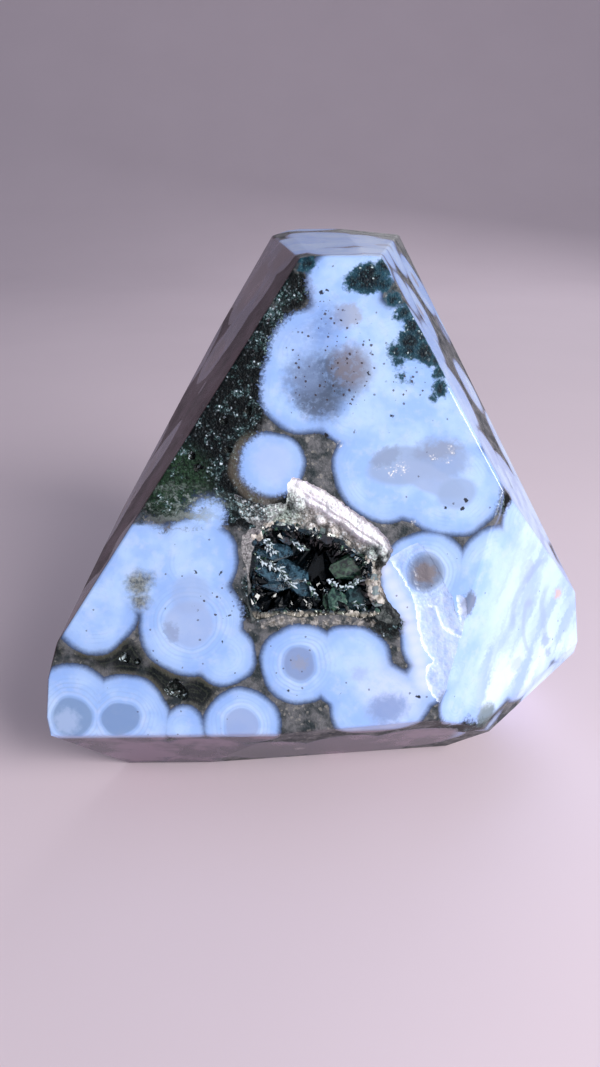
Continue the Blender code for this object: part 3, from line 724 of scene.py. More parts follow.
SPECKS = (
    (2.7, 29.8, 0.0, 0.32, 0.0), (3.4, 30.1, 0.0, 0.22, 0.0), (3.3, 12.3, 0.0, 0.36, 0.0),
    (6.9, 12.5, 0.0, 0.2, 0.0),
    (11.4, 14.6, 0.0, 0.2, 0.0), (20.5, 4.2, 0.0, 0.32, 0.0), (20.1, 3.0, 0.0, 0.26, 0.0),
    (18.0, 3.2, 0.0, 0.25, 0.0),
    (-1.4, -19.5, 0.0, 0.28, 0.0), (5.1, -19.9, 0.0, 0.2, 0.0), (-12.9, -4.8, 0.0, 0.26, 0.0),
    (-9.8, -4.9, 0.0, 0.22, 0.0),
    (-9.6, -13.4, 0.0, 0.24, 0.0), (-8.7, -10.2, 0.0, 0.2, 0.0), (5.0, 26.4, 0.0, 0.24, 0.0),
    (8.5, 19.8, 0.0, 0.24, 0.0),
    (16.4, -10.8, 0.0, 0.2, 0.0), (-20.8, 6.5, 0.0, 0.2, 0.0), (14.7, -20.2, 0.0, 0.3, 0.0),
)
SPECKLED = (
    (4.5, 21.0, 0.0, 6.5, 0.0), (2.8, 25.8, 0.0, 3.6, 0.0), (-10.3, -8.6, 0.0, 2.6, 0.0),
    (13.5, 18.0, 0.0, 2.6, 0.0),
)
# Growth lines: centre and radius of the curve, where it shows, its reach, width, colour, strength.
ARCS = (
    ((36.3, -11.5, -9.0), 9.1, (29.5, -7.0, -6.0), 7.0, 0.9, (150, 168, 220), 0.55),
    ((44.0, -10.0, -9.0), 11.2, (33.2, -11.0, -10.0), 5.0, 0.7, (150, 168, 216), 0.5),
    ((36.3, -11.5, -9.0), 6.9, (30.5, -12.5, -8.0), 5.0, 0.5, (158, 174, 224), 0.5),
    ((15.5, 5.0, 0.0), 9.6, (24.5, 5.5, -1.5), 6.0, 0.25, (130, 144, 186), 0.5),
    ((-3.6, 8.5, 0.0), 4.6, (-7.6, 7.2, 0.0), 6.5, 0.9, (98, 90, 80), 0.6),
)
# Smudges: place, size, colour, strength.
SMUDGES = (
    ((33.7, -14.7, -11.0), 1.3, (150, 168, 222), 0.7), ((34.6, -16.5, -11.5), 1.1, (150, 166, 220), 0.7),
    ((29.0, -17.5, -8.0), 1.5, (176, 188, 232), 0.6), ((28.4, -4.8, -3.8), 0.6, (120, 130, 160), 0.8),
    ((35.4, -8.2, -10.8), 1.1, (214, 176, 158), 0.7), ((24.6, -24.0, -6.0), 2.4, (92, 108, 108), 0.8),
)
SIDE_CELL = 9.0
GRAIN_CELLS = 3.1
FRAYED_FROM = 0.25
CLOUDY_FROM = 0.45
QUARTZ_IOR = 1.54
GLOW = {"Subsurface Weight": 0.12, "Subsurface Radius": (1.0, 1.1, 1.4), "Subsurface Scale": 0.6 * MM}
BREAK_GLOW = {"Subsurface Weight": 0.1, "Subsurface Radius": (1.2, 1.0, 0.9), "Subsurface Scale": 0.4 * MM}
HOLLOW_DRUSE = (
    (-1.8, 2.7, -0.8, 3.0, 0.0), (9.4, -2.9, -1.0, 1.9, 0.0), (-5.5, 3.0, 0.0, 3.0, 0.5),
    (9.5, -10.5, -1.0, 2.2, 0.0), (-5.6, -8.0, -1.0, 1.8, 0.0),
)


class StoneGraph(Graph):
    """A material of the stone, with the fields that its colours share."""

    def __init__(self, material):
        super().__init__(material)
        place = self.face_place()
        self.place = place
        self.right, self.up, self.depth = self.axes(place)
        half = (0.5, 0.5, 0.5)
        drift = self.vector("SUBTRACT", self.noise(place, 0.24, 1.5, 0.4, "Color"), half)
        self.fine = self.vector("SUBTRACT", self.noise(place, 1.3, 4.0, 0.65, "Color"), half)
        self.shifted = self.nudged(place, drift, 1.2)
        self.ragged = self.nudged(place, self.fine, 2.2)
        self.cloud = self.noise(place, 0.16, 3.0, 0.55)
        self.fuzz = self.noise(place, 2.4, 4.0, 0.7)
        self.grains = self.cells(place, GRAIN_CELLS)
        beads = self.cells(self.nudged(place, self.fine, 0.5), 3.8)
        self.bead_picks = [self.pick(beads, number) for number in range(3)]
        self.bead = self.ramp(beads.outputs["Distance"], 0.18, 0.55, 1.0, 0.15)
        self.outline_orbs()
        self.facing_fields()

    def outline_orbs(self):
        """Distance to the orbs' outline, negative inside. Away from the front, cells make the orbs."""
        front = self.nearest(self.shifted, ORBS)
        side_cells = self.cells(self.shifted, 1.0 / SIDE_CELL)
        self.side_pick = self.pick(side_cells, 0)
        self.side_far = self.times(side_cells.outputs["Distance"], SIDE_CELL)
        swell = self.ramp(self.noise(self.place, 0.05, 1.0), 0.3, 0.7, 4.4, 7.0)
        side = self.plus(self.minus(self.side_far, swell), self.ramp(self.depth, -9.0, -3.0, 0.0, 12.0))
        self.edge = self.minus(self.math("MINIMUM", front, side), 0.22)
        self.green_field = self.nearest(self.ragged, GREEN)
        fray = self.ramp(self.green_field, -0.5, 1.0, 2.4, 0.4)
        self.frayed_edge = self.plus(self.edge, self.times(self.minus(self.fuzz, 0.5), fray))

    def facing_fields(self):
        """Where the left facets with their painted mauve shade and the underside with its painted shade lie.
        """
        fading = self.ramp(self.depth, -42.0, -22.0, 0.3, 1.0)
        self.left_painted_shade = self.times(self.attribute("left_painted_shade"), fading)
        below_front = self.ramp(self.up, -25.4, -24.4, 1.0, 0.0)
        under = self.times(self.ramp(self.depth, -1.6, -0.3, 0.95, 0.0), below_front)
        self.underside = self.times(under, self.ramp(self.right, 20.0, 23.0, 1.0, 0.0))


def chalcedony(graph):
    """Blue-white and cloudy, faintly banded along its outline."""
    place = graph.place
    white = graph.mix(graph.ramp(graph.cloud, 0.38, 0.62), (154, 188, 246), (180, 208, 251))
    milky = graph.ramp(graph.noise(place, 0.55, 3.0, 0.6), 0.45, 0.75)
    white = graph.mix(graph.times(milky, 0.42), white, (200, 214, 248))
    mottle = graph.ramp(graph.noise(place, 1.7, 4.0, 0.7), 0.52, 0.72, 0.0, 0.30)
    white = graph.mix(mottle, white, (150, 176, 232))
    bands = graph.math("SINE", graph.times(graph.edge, 13.0))
    band_here = graph.ramp(graph.noise(place, 0.3, 1.0), 0.45, 0.7, 0.0, 0.16)
    band_here = graph.times(band_here, graph.ramp(graph.edge, -3.6, -2.2))
    return graph.mix(graph.times(graph.ramp(bands, 0.0, 1.0), band_here), white, (130, 152, 200))


def ringed(graph, white):
    """Fine rings and a bright halo around the cores of the target orbs."""
    ring = graph.nearest(graph.shifted, TARGETS)
    fade = graph.ramp(ring, 0.2, 3.2, 1.0, 0.0)
    waves = graph.ramp(graph.math("SINE", graph.times(ring, 12.0)), -0.2, 1.0)
    outside = graph.ramp(ring, -0.05, 0.1)
    rings_here = graph.times(graph.times(waves, fade), graph.times(outside, 0.26))
    white = graph.mix(rings_here, white, (138, 158, 205))
    off = graph.math("ABSOLUTE", graph.minus(ring, 0.5))
    return graph.mix(graph.ramp(off, 0.05, 0.32, 0.14, 0.0), white, (222, 232, 255))


def layered(graph, white):
    """Painted mauve shade and reflection along the left facets, milky strokes under a painted highlight on
    the right cheek, and painted shade over the brown-mauve undersides.
    """
    # Painted shade and reflection: the left facets turn mauve.
    mauve_shade_and_reflection = graph.mix(graph.ramp(graph.cloud, 0.35, 0.65), (100, 70, 76), (138, 108, 116))
    mauve_shade_here = graph.times(graph.left_painted_shade, graph.ramp(graph.side_pick, 0.2, 0.8, 0.6, 0.95))
    white = graph.mix(mauve_shade_here, white, mauve_shade_and_reflection)
    # Painted highlight: the right cheek's white is lifted, brightest low down; the darker strokes across it
    # are the stone's own.
    cheek_strokes_and_highlight = graph.times(graph.ramp(graph.depth, -4.5, -1.5, 0.8, 0.0), graph.ramp(graph.right, 21.5, 24.5))
    strokes = graph.noise(graph.local(graph.ragged, 66.0, (13.0, 2.6, 5.0)), 1.0, 2.5, 0.5)
    painted_cheek_highlight = graph.mix(graph.ramp(graph.up, -19.0, -11.0, 1.0, 0.0), (202, 226, 255), (222, 240, 255))
    white = graph.mix(cheek_strokes_and_highlight, white, graph.mix(graph.ramp(strokes, 0.34, 0.58), (164, 186, 234), painted_cheek_highlight))
    # Painted shade and floor reflection on the underside: mauve, with a near-black painted shadow in the
    # middle that is partly dark matrix.
    from_middle = graph.math("ABSOLUTE", graph.plus(graph.right, 3.0))
    shadow_and_dark_matrix_here = graph.ramp(from_middle, 3.0, 9.0, 0.85, 0.0)
    shadow_and_dark_matrix_here = graph.times(shadow_and_dark_matrix_here, graph.ramp(graph.up, -29.0, -27.4, 1.0, 0.0))
    lower = graph.mix(graph.ramp(graph.cloud, 0.40, 0.60), (64, 50, 60), (118, 94, 112))
    return graph.mix(graph.underside, white, graph.mix(shadow_and_dark_matrix_here, lower, (24, 20, 24)))


def cored(graph, white):
    """Grey and tan cores: the ones seen in front, and plain ones in the cells away from it."""
    side_core = graph.ramp(graph.side_far, 1.3, 1.8, 0.7, 0.0)
    side_core = graph.times(side_core, graph.ramp(graph.depth, -8.0, -4.0, 1.0, 0.0))
    colour = graph.mix(side_core, white, graph.mix(graph.side_pick, (150, 166, 200), (150, 140, 142)))
    cloudy = graph.ramp(graph.noise(graph.place, 1.3, 4.0, 0.7), 0.36, 0.56, 0.66, 1.0)
    for u, v, wide, high, turn, soft, shade, strength in CORES:
        around = graph.ragged if soft > FRAYED_FROM else graph.shifted
        local = graph.local(around, turn, (wide, high, 0.5 * (wide + high)), (u, v, 0.0))
        here = graph.ramp(graph.vector("LENGTH", local), 1.0 - soft, 1.0 + soft, strength, 0.0)
        if soft > CLOUDY_FROM:
            here = graph.times(here, cloudy)
        colour = graph.mix(here, colour, shade)
    return colour


def rimmed(graph, colour):
    """The chalcedony thins out into blue, then into a dark soft rim; a pale strip runs beside the flakes."""
    thin = graph.ramp(graph.edge, -2.2, -0.4, 0.0, 0.5)
    thin = graph.times(thin, graph.ramp(graph.underside, 0.0, 0.9, 1.0, 0.0))
    colour = graph.mix(thin, colour, (140, 172, 232))
    colour = graph.mix(graph.times(graph.ramp(graph.frayed_edge, -0.85, 0.10), 0.94), colour, (44, 54, 80))
    pale = graph.ramp(graph.nearest(graph.shifted, PALE), -0.9, 0.7, 0.85, 0.0)
    return graph.mix(pale, colour, (214, 223, 252))


def brown_matrix(graph):
    """Brown-grey and mottled, with a glassy green channel."""
    patches = graph.noise(graph.place, 0.5, 4.0, 0.6)
    earth = graph.mix(graph.ramp(patches, 0.36, 0.64), (46, 54, 58), (112, 112, 116))
    earth = graph.mix(graph.ramp(graph.fuzz, 0.35, 0.7, 0.0, 0.3), earth, (28, 30, 32))
    pale_grain = graph.ramp(graph.pick(graph.grains, 0), 0.90, 0.97, 0.0, 0.45)
    earth = graph.mix(pale_grain, earth, (156, 152, 146))
    beyond = graph.plus(graph.edge, graph.times(graph.minus(graph.fuzz, 0.5), 0.8))
    combing = graph.math("SINE", graph.times(graph.plus(beyond, patches), 9.0))
    glassy = graph.mix(graph.ramp(beyond, 0.0, 0.8), (80, 78, 70), (10, 16, 18))
    glassy = graph.mix(graph.ramp(combing, 0.4, 1.0, 0.0, 0.3), glassy, (70, 76, 62))
    return graph.mix(graph.ramp(graph.nearest(graph.shifted, CHANNEL), -1.0, 0.8, 0.92, 0.0), earth, glassy)


def green_moss(graph):
    """Nearly black green, with lumps, pale seams, beads and glints where its druse lies open."""
    clumps = graph.noise(graph.place, 0.42, 4.0, 0.62)
    druse = graph.ramp(graph.nearest(graph.ragged, DRUSE), -0.9, 0.7, 1.0, 0.0)
    open_ground = graph.larger(graph.ramp(clumps, 0.50, 0.60), druse)
    green = graph.mix(open_ground, (1, 3, 6), (6, 17, 21))
    leafy = graph.ramp(graph.far(graph.place, (-15.5, 6.5, 0.0)), 2.5, 6.0, 0.8, 0.0)
    leaf = graph.mix(graph.ramp(graph.fuzz, 0.40, 0.62), (12, 26, 18), (44, 70, 48))
    green = graph.mix(leafy, green, leaf)
    seen = graph.ramp(open_ground, 0.0, 1.0, 0.06, 1.0)
    lumps = graph.cells(graph.ragged, 1.5)
    raised = graph.ramp(graph.pick(lumps, 0), 0.60, 0.80)
    raised = graph.times(raised, graph.ramp(lumps.outputs["Distance"], 0.2, 0.6, 0.7, 0.0))
    lump = graph.mix(graph.pick(lumps, 1), (34, 62, 56), (92, 116, 126))
    green = graph.mix(graph.times(raised, seen), green, lump)
    seams = graph.cells(graph.ragged, 0.95, "DISTANCE_TO_EDGE").outputs["Distance"]
    seam = graph.times(graph.ramp(seams, 0.02, 0.13, 0.9, 0.0), graph.ramp(graph.fuzz, 0.44, 0.60))
    pale_seam = graph.mix(graph.ramp(graph.fuzz, 0.52, 0.66), (60, 94, 92), (178, 202, 214))
    green = graph.mix(graph.times(seam, seen), green, pale_seam)
    first, second, third = graph.bead_picks
    sown = graph.times(graph.ramp(first, 0.66, 0.88), graph.ramp(open_ground, 0.0, 1.0, 0.03, 0.7))
    green = graph.mix(graph.times(sown, graph.bead), green, graph.mix(third, (52, 84, 76), (128, 150, 158)))
    glints = graph.times(graph.ramp(second, 0.91, 0.94), graph.ramp(open_ground, 0.0, 1.0, 0.12, 1.0))
    return graph.mix(graph.times(glints, graph.bead), green, (218, 234, 246))


def with_matrix(graph, colour):
    """Matrix and moss beyond the rim, streaked into the chalcedony at the left, and how much shows."""
    in_green = graph.ramp(graph.green_field, -0.5, 0.6, 1.0, 0.0)
    matrix = graph.mix(in_green, brown_matrix(graph), green_moss(graph))
    streaky = graph.noise(graph.local(graph.ragged, 6.0, (0.17, 0.95, 1.0), kind="POINT"), 1.0, 4.0, 0.6)
    combed = graph.ramp(graph.far(graph.place, (-15.0, 3.4, 0.0)), 3.5, 7.5, 8.0, 0.0)
    streaked_edge = graph.plus(graph.frayed_edge, graph.times(graph.minus(streaky, 0.47), combed))
    starts = graph.ramp(combed, 0.0, 8.0, -0.06, -0.8)
    in_matrix = graph.ramp(streaked_edge, starts, graph.ramp(combed, 0.0, 8.0, 0.12, 0.9))
    colour = graph.mix(in_matrix, colour, matrix)
    local = graph.local(graph.ragged, -4.0, (7.0, 2.9, 3.0), (-14.8, 3.7, 0.0))
    veil_here = graph.ramp(graph.vector("LENGTH", local), 0.35, 1.15, 0.75, 0.0)
    veil_here = graph.times(veil_here, graph.ramp(streaky, 0.40, 0.60))
    veil = graph.mix(graph.ramp(streaky, 0.42, 0.64), (32, 54, 38), (142, 152, 152))
    colour = graph.mix(veil_here, colour, veil)
    crusted = graph.ramp(graph.nearest(graph.ragged, CRUST_LINE), -0.30, 0.25, 0.8, 0.0)
    crust_tan = graph.mix(graph.ramp(graph.fuzz, 0.4, 0.6), (112, 106, 98), (192, 186, 182))
    return graph.mix(crusted, colour, crust_tan), in_matrix


def lined(graph, colour):
    """Growth lines, and smudges on the right cheek."""
    for centre, radius, place_on, reach, width, shade, strength in ARCS:
        off = graph.math("ABSOLUTE", graph.minus(graph.far(graph.shifted, centre), radius))
        here = graph.ramp(graph.far(graph.place, place_on), 0.6 * reach, reach, strength, 0.0)
        line = graph.times(graph.ramp(off, 0.2 * width, width, 1.0, 0.0), here)
        colour = graph.mix(line, colour, shade)
    for spot, size, shade, strength in SMUDGES:
        here = graph.ramp(graph.far(graph.ragged, spot), 0.4 * size, size, strength, 0.0)
        colour = graph.mix(here, colour, shade)
    return colour


def with_inclusions(graph, colour):
    """Moss and brown inclusions inside the chalcedony, and how much of each shows."""
    moss_field = graph.nearest(graph.ragged, MOSS)
    in_moss = graph.ramp(moss_field, -0.35, 0.25, 1.0, 0.0)
    moss = graph.mix(graph.ramp(moss_field, -1.2, 0.1), (4, 16, 26), (34, 76, 94))
    first, second, _ = graph.bead_picks
    moss = graph.mix(graph.times(graph.ramp(first, 0.66, 0.92, 0.0, 0.5), graph.bead), moss, (78, 118, 126))
    # Painted glints: rare white specks in the moss.
    moss = graph.mix(graph.times(graph.ramp(second, 0.975, 0.985), graph.bead), moss, (206, 224, 230))
    colour = graph.mix(in_moss, colour, moss)
    in_earth = graph.ramp(graph.nearest(graph.ragged, EARTH), -1.1, 0.7, 0.9, 0.0)
    earth = graph.mix(graph.ramp(graph.fuzz, 0.35, 0.65), (72, 74, 66), (140, 142, 132))
    return graph.mix(in_earth, colour, earth), in_moss, in_earth


def speckled(graph, colour):
    """Pin-head specks, a few larger dark spots, and white glints painted in the grey cores."""
    dots = graph.cells(graph.nudged(graph.place, graph.fine, 0.35), 1.8)
    dot_size = graph.ramp(graph.pick(dots, 1), 0.40, 1.0, 0.02, 0.32)
    dot = graph.math("LESS_THAN", dots.outputs["Distance"], dot_size)
    here = graph.ramp(graph.nearest(graph.ragged, SPECKLED), -1.0, 0.5, 0.85, 0.0)
    colour = graph.mix(graph.times(dot, here), colour, (58, 44, 44))
    strays = graph.cells(graph.nudged(graph.place, graph.fine, 0.35), 0.75)
    stray_size = graph.ramp(graph.pick(strays, 2), 0.45, 1.0, 0.0, 0.10)
    stray = graph.math("LESS_THAN", strays.outputs["Distance"], stray_size)
    colour = graph.mix(graph.times(stray, 0.6), colour, (66, 58, 66))
    spots = graph.nearest(graph.nudged(graph.place, graph.fine, 1.3), SPECKS)
    colour = graph.mix(graph.ramp(spots, -0.10, 0.03, 0.95, 0.0), colour, (26, 22, 24))
    # Painted glints, white, in the grey cores.
    painted_glint = graph.ramp(graph.nearest(graph.ragged, PAINTED_GLINTS), -0.3, 0.2, 1.0, 0.0)
    painted_glint = graph.times(painted_glint, graph.times(graph.ramp(graph.bead_picks[2], 0.35, 0.55), graph.bead))
    return graph.mix(painted_glint, colour, (252, 248, 246))


def orb_pattern(graph):
    """The stone's colour, and how much of it is matrix or moss and so duller and grainier."""
    colour = rimmed(graph, cored(graph, layered(graph, ringed(graph, chalcedony(graph)))))
    colour, in_matrix = with_matrix(graph, colour)
    colour, in_moss, in_earth = with_inclusions(graph, lined(graph, colour))
    colour = speckled(graph, colour)
    # A second coat of painted mauve shade and reflection on the left facets, over everything.
    mauve_shade_and_reflection = graph.mix(graph.ramp(graph.cloud, 0.38, 0.62), (92, 66, 72), (132, 104, 112))
    colour = graph.mix(graph.times(graph.left_painted_shade, 0.7), colour, mauve_shade_and_reflection)
    return colour, graph.larger(graph.larger(in_matrix, in_moss), in_earth)


def quartz_finish(graph, colour, roughness, relief, more):
    """A quartz surface with its colour, gloss and fine relief (height, strength, distance in mm)."""
    height, strength, distance = relief
    bump = graph.node("ShaderNodeBump", {"Height": height, "Strength": strength, "Distance": distance * MM})
    inputs = {"Base Color": colour, "Roughness": roughness, "Normal": bump.outputs["Normal"]}
    shader = graph.node("ShaderNodeBsdfPrincipled", {**inputs, "IOR": QUARTZ_IOR, **more})
    graph.node("ShaderNodeOutputMaterial", {"Surface": shader.outputs[0]})


def polished_stone(material):
    """Ground and polished: glossy chalcedony, with duller and grainier matrix."""
    graph = StoneGraph(material)
    colour, loose = orb_pattern(graph)
    shine = graph.ramp(loose, 0.0, 1.0, 0.5, 0.13)
    shine = graph.times(shine, graph.ramp(graph.underside, 0.0, 0.9, 1.0, 0.4))
    height = graph.times(graph.grains.outputs["Distance"], 0.7)
    height = graph.plus(height, graph.noise(graph.place, 6.0, 2.0))
    strength = graph.ramp(loose, 0.2, 1.0, 0.015, 0.55)
    roughness = graph.ramp(loose, 0.0, 1.0, 0.16, 0.38)
    quartz_finish(graph, colour, roughness, (height, strength, 0.12), {"Specular IOR Level": shine, **GLOW})


def spalled_stone(material):
    """The same stone where a flake came off: nearly as smooth, with a painted white highlight along the step
    it broke from.
    """
    graph = StoneGraph(material)
    colour, _ = orb_pattern(graph)
    clear_of_core = graph.ramp(graph.far(graph.place, (15.5, -4.8, 0.0)), 2.2, 4.5)
    milk = graph.ramp(graph.noise(graph.place, 1.1, 4.0, 0.65), 0.35, 0.7, 0.35, 0.8)
    colour = graph.mix(graph.times(milk, clear_of_core), colour, (208, 220, 252))
    # Painted highlight along the step, broken up by noise.
    highlight_breakup = graph.ramp(graph.noise(graph.place, 1.6, 3.0, 0.6), 0.34, 0.56, 0.35, 0.9)
    step_highlight = graph.times(graph.ramp(graph.attribute("relief_light_and_shade"), 0.1, 0.9), highlight_breakup)
    colour = graph.mix(step_highlight, colour, (236, 244, 255))
    quartz_finish(graph, colour, 0.28, (graph.noise(graph.place, 2.5, 3.0, 0.6), 0.35, 0.10), GLOW)


def slope_colour(graph, sugar, right, up):
    """The slopes beside the hollow: grey, darker low down, cream at the upper right."""
    slopes = graph.mix(graph.ramp(sugar, 0.35, 0.65), (72, 72, 74), (150, 147, 150))
    slopes = graph.mix(graph.ramp(up, -8.5, -4.0, 0.85, 0.0), slopes, (40, 50, 50))
    cream_here = graph.times(graph.ramp(right, 7.5, 8.5), graph.ramp(up, -8.8, -6.6))
    cream = graph.mix(graph.ramp(sugar, 0.36, 0.60), (126, 122, 110), (216, 208, 200))
    return graph.mix(cream_here, slopes, cream)


def broken_stone(material):
    """Fresh, sugary break: pinkish white on the crests, brown deeper in, green where the druse is; painted
    light on the crests and painted shade in the clefts.
    """
    graph = Graph(material)
    place = graph.face_place()
    right, up, depth = graph.axes(place)
    streaks = graph.noise(graph.local(place, -34.0, (3.4, 0.8, 1.0)), 1.0, 4.0, 0.6)
    sugar = graph.noise(place, 3.2, 5.0, 0.7)
    pale = graph.mix(graph.ramp(streaks, 0.35, 0.65), (234, 230, 240), (255, 254, 255))
    brown = graph.mix(graph.ramp(sugar, 0.35, 0.65), (132, 126, 120), (214, 208, 206))
    uneven_depth = graph.plus(depth, graph.times(graph.minus(sugar, 0.5), 1.2))
    colour = graph.mix(graph.ramp(uneven_depth, -2.0, -1.0, 1.0, 0.0), pale, brown)
    druse = graph.ramp(graph.nearest(place, HOLLOW_DRUSE), -1.0, 0.6, 0.8, 0.0)
    green = graph.mix(graph.ramp(sugar, 0.44, 0.57), (14, 26, 24), (182, 202, 194))
    colour = graph.mix(druse, colour, green)
    dark_green = graph.mix(graph.ramp(sugar, 0.50, 0.62), (10, 20, 22), (150, 176, 186))
    colour = graph.mix(graph.ramp(right, -4.8, -3.2, 0.85, 0.0), colour, dark_green)
    crystals = graph.cells(place, 3.4)
    pick = graph.pick(crystals, 0)
    colour = graph.mix(graph.ramp(pick, 0.80, 0.92, 0.0, 0.7), colour, (228, 232, 236))
    at_left = graph.times(graph.ramp(right, -4.2, -3.2, 1.0, 0.0), graph.ramp(up, 1.0, 2.2, 1.0, 0.0))
    at_right = graph.times(graph.ramp(right, 6.5, 7.5), graph.ramp(up, -4.6, -3.6, 1.0, 0.0))
    at_foot = graph.ramp(up, -9.3, -8.7, 1.0, 0.0)
    on_slopes = graph.larger(graph.larger(at_left, at_right), at_foot)
    colour = graph.mix(on_slopes, colour, slope_colour(graph, sugar, right, up))
    # Painted light and shade: crests are lightened and clefts darkened.
    shade = graph.ramp(graph.attribute("relief_light_and_shade"), -0.30, 0.16, 0.74, 1.16)
    tone = graph.node("ShaderNodeCombineColor", {0: shade, 1: shade, 2: shade}).outputs[0]
    colour = graph.mix(1.0, colour, tone, "MULTIPLY")
    pit = graph.mix(graph.ramp(sugar, 0.5, 0.7), (10, 14, 16), (84, 100, 96))
    # Painted glints: white specks in the pits.
    pit = graph.mix(graph.ramp(pick, 0.88, 0.92), pit, (200, 214, 222))
    far_off = graph.larger(graph.ramp(right, -9.0, -8.3, 1.0, 0.0), graph.ramp(up, 7.4, 7.8))
    far_off = graph.larger(far_off, graph.ramp(up, -12.6, -12.2, 1.0, 0.0))
    colour = graph.mix(far_off, colour, pit)
    # Painted shade: the hollow's wall turns near black deeper than about 3 mm.
    colour = graph.mix(graph.ramp(depth, -3.9, -2.7, 1.0, 0.0), colour, (10, 14, 16))
    height = graph.plus(graph.times(crystals.outputs["Distance"], 0.8), sugar)
    quartz_finish(graph, colour, 0.42, (height, 0.7, 0.16), BREAK_GLOW)


polished_stone(stone.data.materials[POLISHED])
broken_stone(stone.data.materials[BROKEN])
spalled_stone(stone.data.materials[SPALLED])
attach(stone, "root")
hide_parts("stone")

# The crust of quartz in the hollow.
# Dark green quartz druse grown on the hollow's wall: a thin lining set with hundreds of small
# six-sided points and a few larger tabular crystals, some frosted white, and white splinters painted
# as glints. It is one with the stone.
LINING_INSET = -0.10
LINING_WALL = 0.45
LINING_START = -0.8
RIM_CRYSTALS = 800
DEEP_CRYSTALS = 560
CRYSTAL_SEED = 11
LINING_AROUND = 96
LINING_DEEPEST = -9.4
LINING_CRAGS = 1.1
LINING_SHADE = 0.10
# Shades run from 0, dark, to 1, white: frosted white on scales, a painted glint on splinters; above 1 a
# crystal is tan.
RIM_SHADES = (0.0, 0.02, 0.04, 0.08, 0.12, 0.16, 0.22, 0.45)
LIP_SHADES = (0.18, 0.36, 0.7, 1.2, 1.2, 1.2, 1.2)
RIGHT_SHADES = (0.7, 1.2, 1.2, 1.2, 1.2)
LOWER_SHADES = (0.08, 0.18, 0.36, 1.2, 1.2)
SPLINTER_GLINT_SHADES = (0.28, 0.42, 0.62, 0.85, 1.0)
# Tabular crystals: base, lean, facing (each u, v, w), length, width, thickness, shade.
TABLETS = (
    ((9.0, -4.3, -2.8), (-1.0, 0.02, 0.16), (0.16, -0.42, 0.90), 5.7, 3.3, 0.9, 0.40),
    ((9.2, -8.0, -3.6), (-1.0, 0.12, 0.05), (0.05, 0.45, 0.88), 3.6, 2.4, 0.9, 0.26),
    ((5.0, -10.4, -2.5), (-0.15, 1.0, 0.10), (0.35, 0.10, 0.93), 4.0, 2.6, 0.8, 0.36),
    ((7.2, -10.3, -2.9), (0.05, 1.0, 0.10), (-0.25, 0.20, 0.95), 3.8, 3.0, 0.8, 0.32),
    ((3.5, -10.4, -2.7), (0.10, 1.0, 0.05), (0.20, 0.10, 0.97), 3.0, 1.6, 0.7, 0.42),
    ((-6.0, -1.6, -2.6), (0.96, -0.25, -0.02), (0.05, 0.55, 0.84), 5.8, 2.6, 0.8, 0.20),
    ((-6.0, -3.6, -2.2), (0.84, -0.55, 0.05), (0.20, 0.45, 0.87), 6.0, 2.0, 0.7, 0.26),
    ((-5.8, -5.2, -2.8), (0.92, -0.30, -0.05), (0.10, 0.35, 0.92), 6.0, 2.6, 0.8, 0.18),
    ((-3.0, -3.8, -3.6), (0.85, -0.50, -0.05), (0.30, 0.50, 0.82), 5.2, 2.4, 0.7, 0.22),
    ((-1.5, -5.5, -4.2), (0.75, -0.65, 0.05), (0.35, 0.35, 0.87), 4.8, 2.2, 0.7, 0.20),
    ((-2.0, 0.8, -3.4), (0.25, -0.95, -0.10), (0.30, 0.30, 0.90), 2.4, 2.2, 0.6, 0.22),
    ((1.0, -10.4, -4.4), (0.10, 0.95, -0.10), (0.10, 0.25, 0.95), 2.8, 3.0, 0.8, 0.08),
)
# Tan, frosted scales that fringe the upper lip of the hollow: the lip's line, and their number.
LIP = (
    (-5.6, -0.4), (-4.4, 0.9), (-2.6, 1.3), (-0.6, 1.1), (1.6, 0.6), (4.0, -0.2), (5.9, -1.4), (7.6, -2.9),
    (9.0, -3.8),
)
LIP_SCALES = 90
# The same scales down the right side, and small crystals along the lower rim.
RIGHT_LIP = ((9.0, -3.8), (9.2, -5.2), (9.6, -6.8), (10.0, -8.4))
RIGHT_SCALES = 70
LOWER_LIP = (
    (-5.6, -10.4), (-3.6, -10.2), (-1.2, -10.2), (1.2, -10.5), (4.6, -10.2), (7.6, -10.3), (9.6, -9.9),
)
LOWER_SCALES = 110
# Splinters painted white as glints along crystal edges: start, end (u, v, w), how many, length.
GLINT_SPLINTERS = (
    ((-5.3, -2.9, -1.2), (-2.6, -4.6, -1.6), 52, 0.8), ((-2.6, -4.6, -1.6), (-1.0, -6.6, -2.2), 40, 0.9),
    ((-4.1, -0.7, -1.3), (-3.1, -2.5, -1.5), 28, 0.9), ((-1.3, -0.7, -2.4), (0.6, -1.9, -2.8), 28, 0.8),
    ((5.6, -6.9, -1.9), (8.4, -5.3, -1.6), 68, 0.6), ((3.4, -5.9, -1.9), (5.5, -7.1, -1.9), 40, 0.5),
    ((0.8, -6.0, -3.4), (2.2, -8.4, -3.4), 32, 0.6), ((6.6, -8.8, -2.0), (9.0, -9.8, -1.8), 28, 0.8),
    ((3.3, -7.2, -2.4), (4.0, -9.8, -2.4), 24, 0.6), ((-4.6, -0.6, -1.4), (-3.6, -2.2, -1.3), 32, 0.7),
    ((-5.4, -4.4, -1.4), (-4.4, -5.6, -1.8), 16, 0.6),
)


def add_part(whole, part, shade):
    """Put a finished crystal into the crust with its shade."""
    layer = part.verts.layers.float.new("shade")
    for vert in part.verts:
        vert[layer] = shade
    loose = bpy.data.meshes.new("crystal")
    part.to_mesh(loose)
    part.free()
    whole.from_mesh(loose)
    bpy.data.meshes.remove(loose)


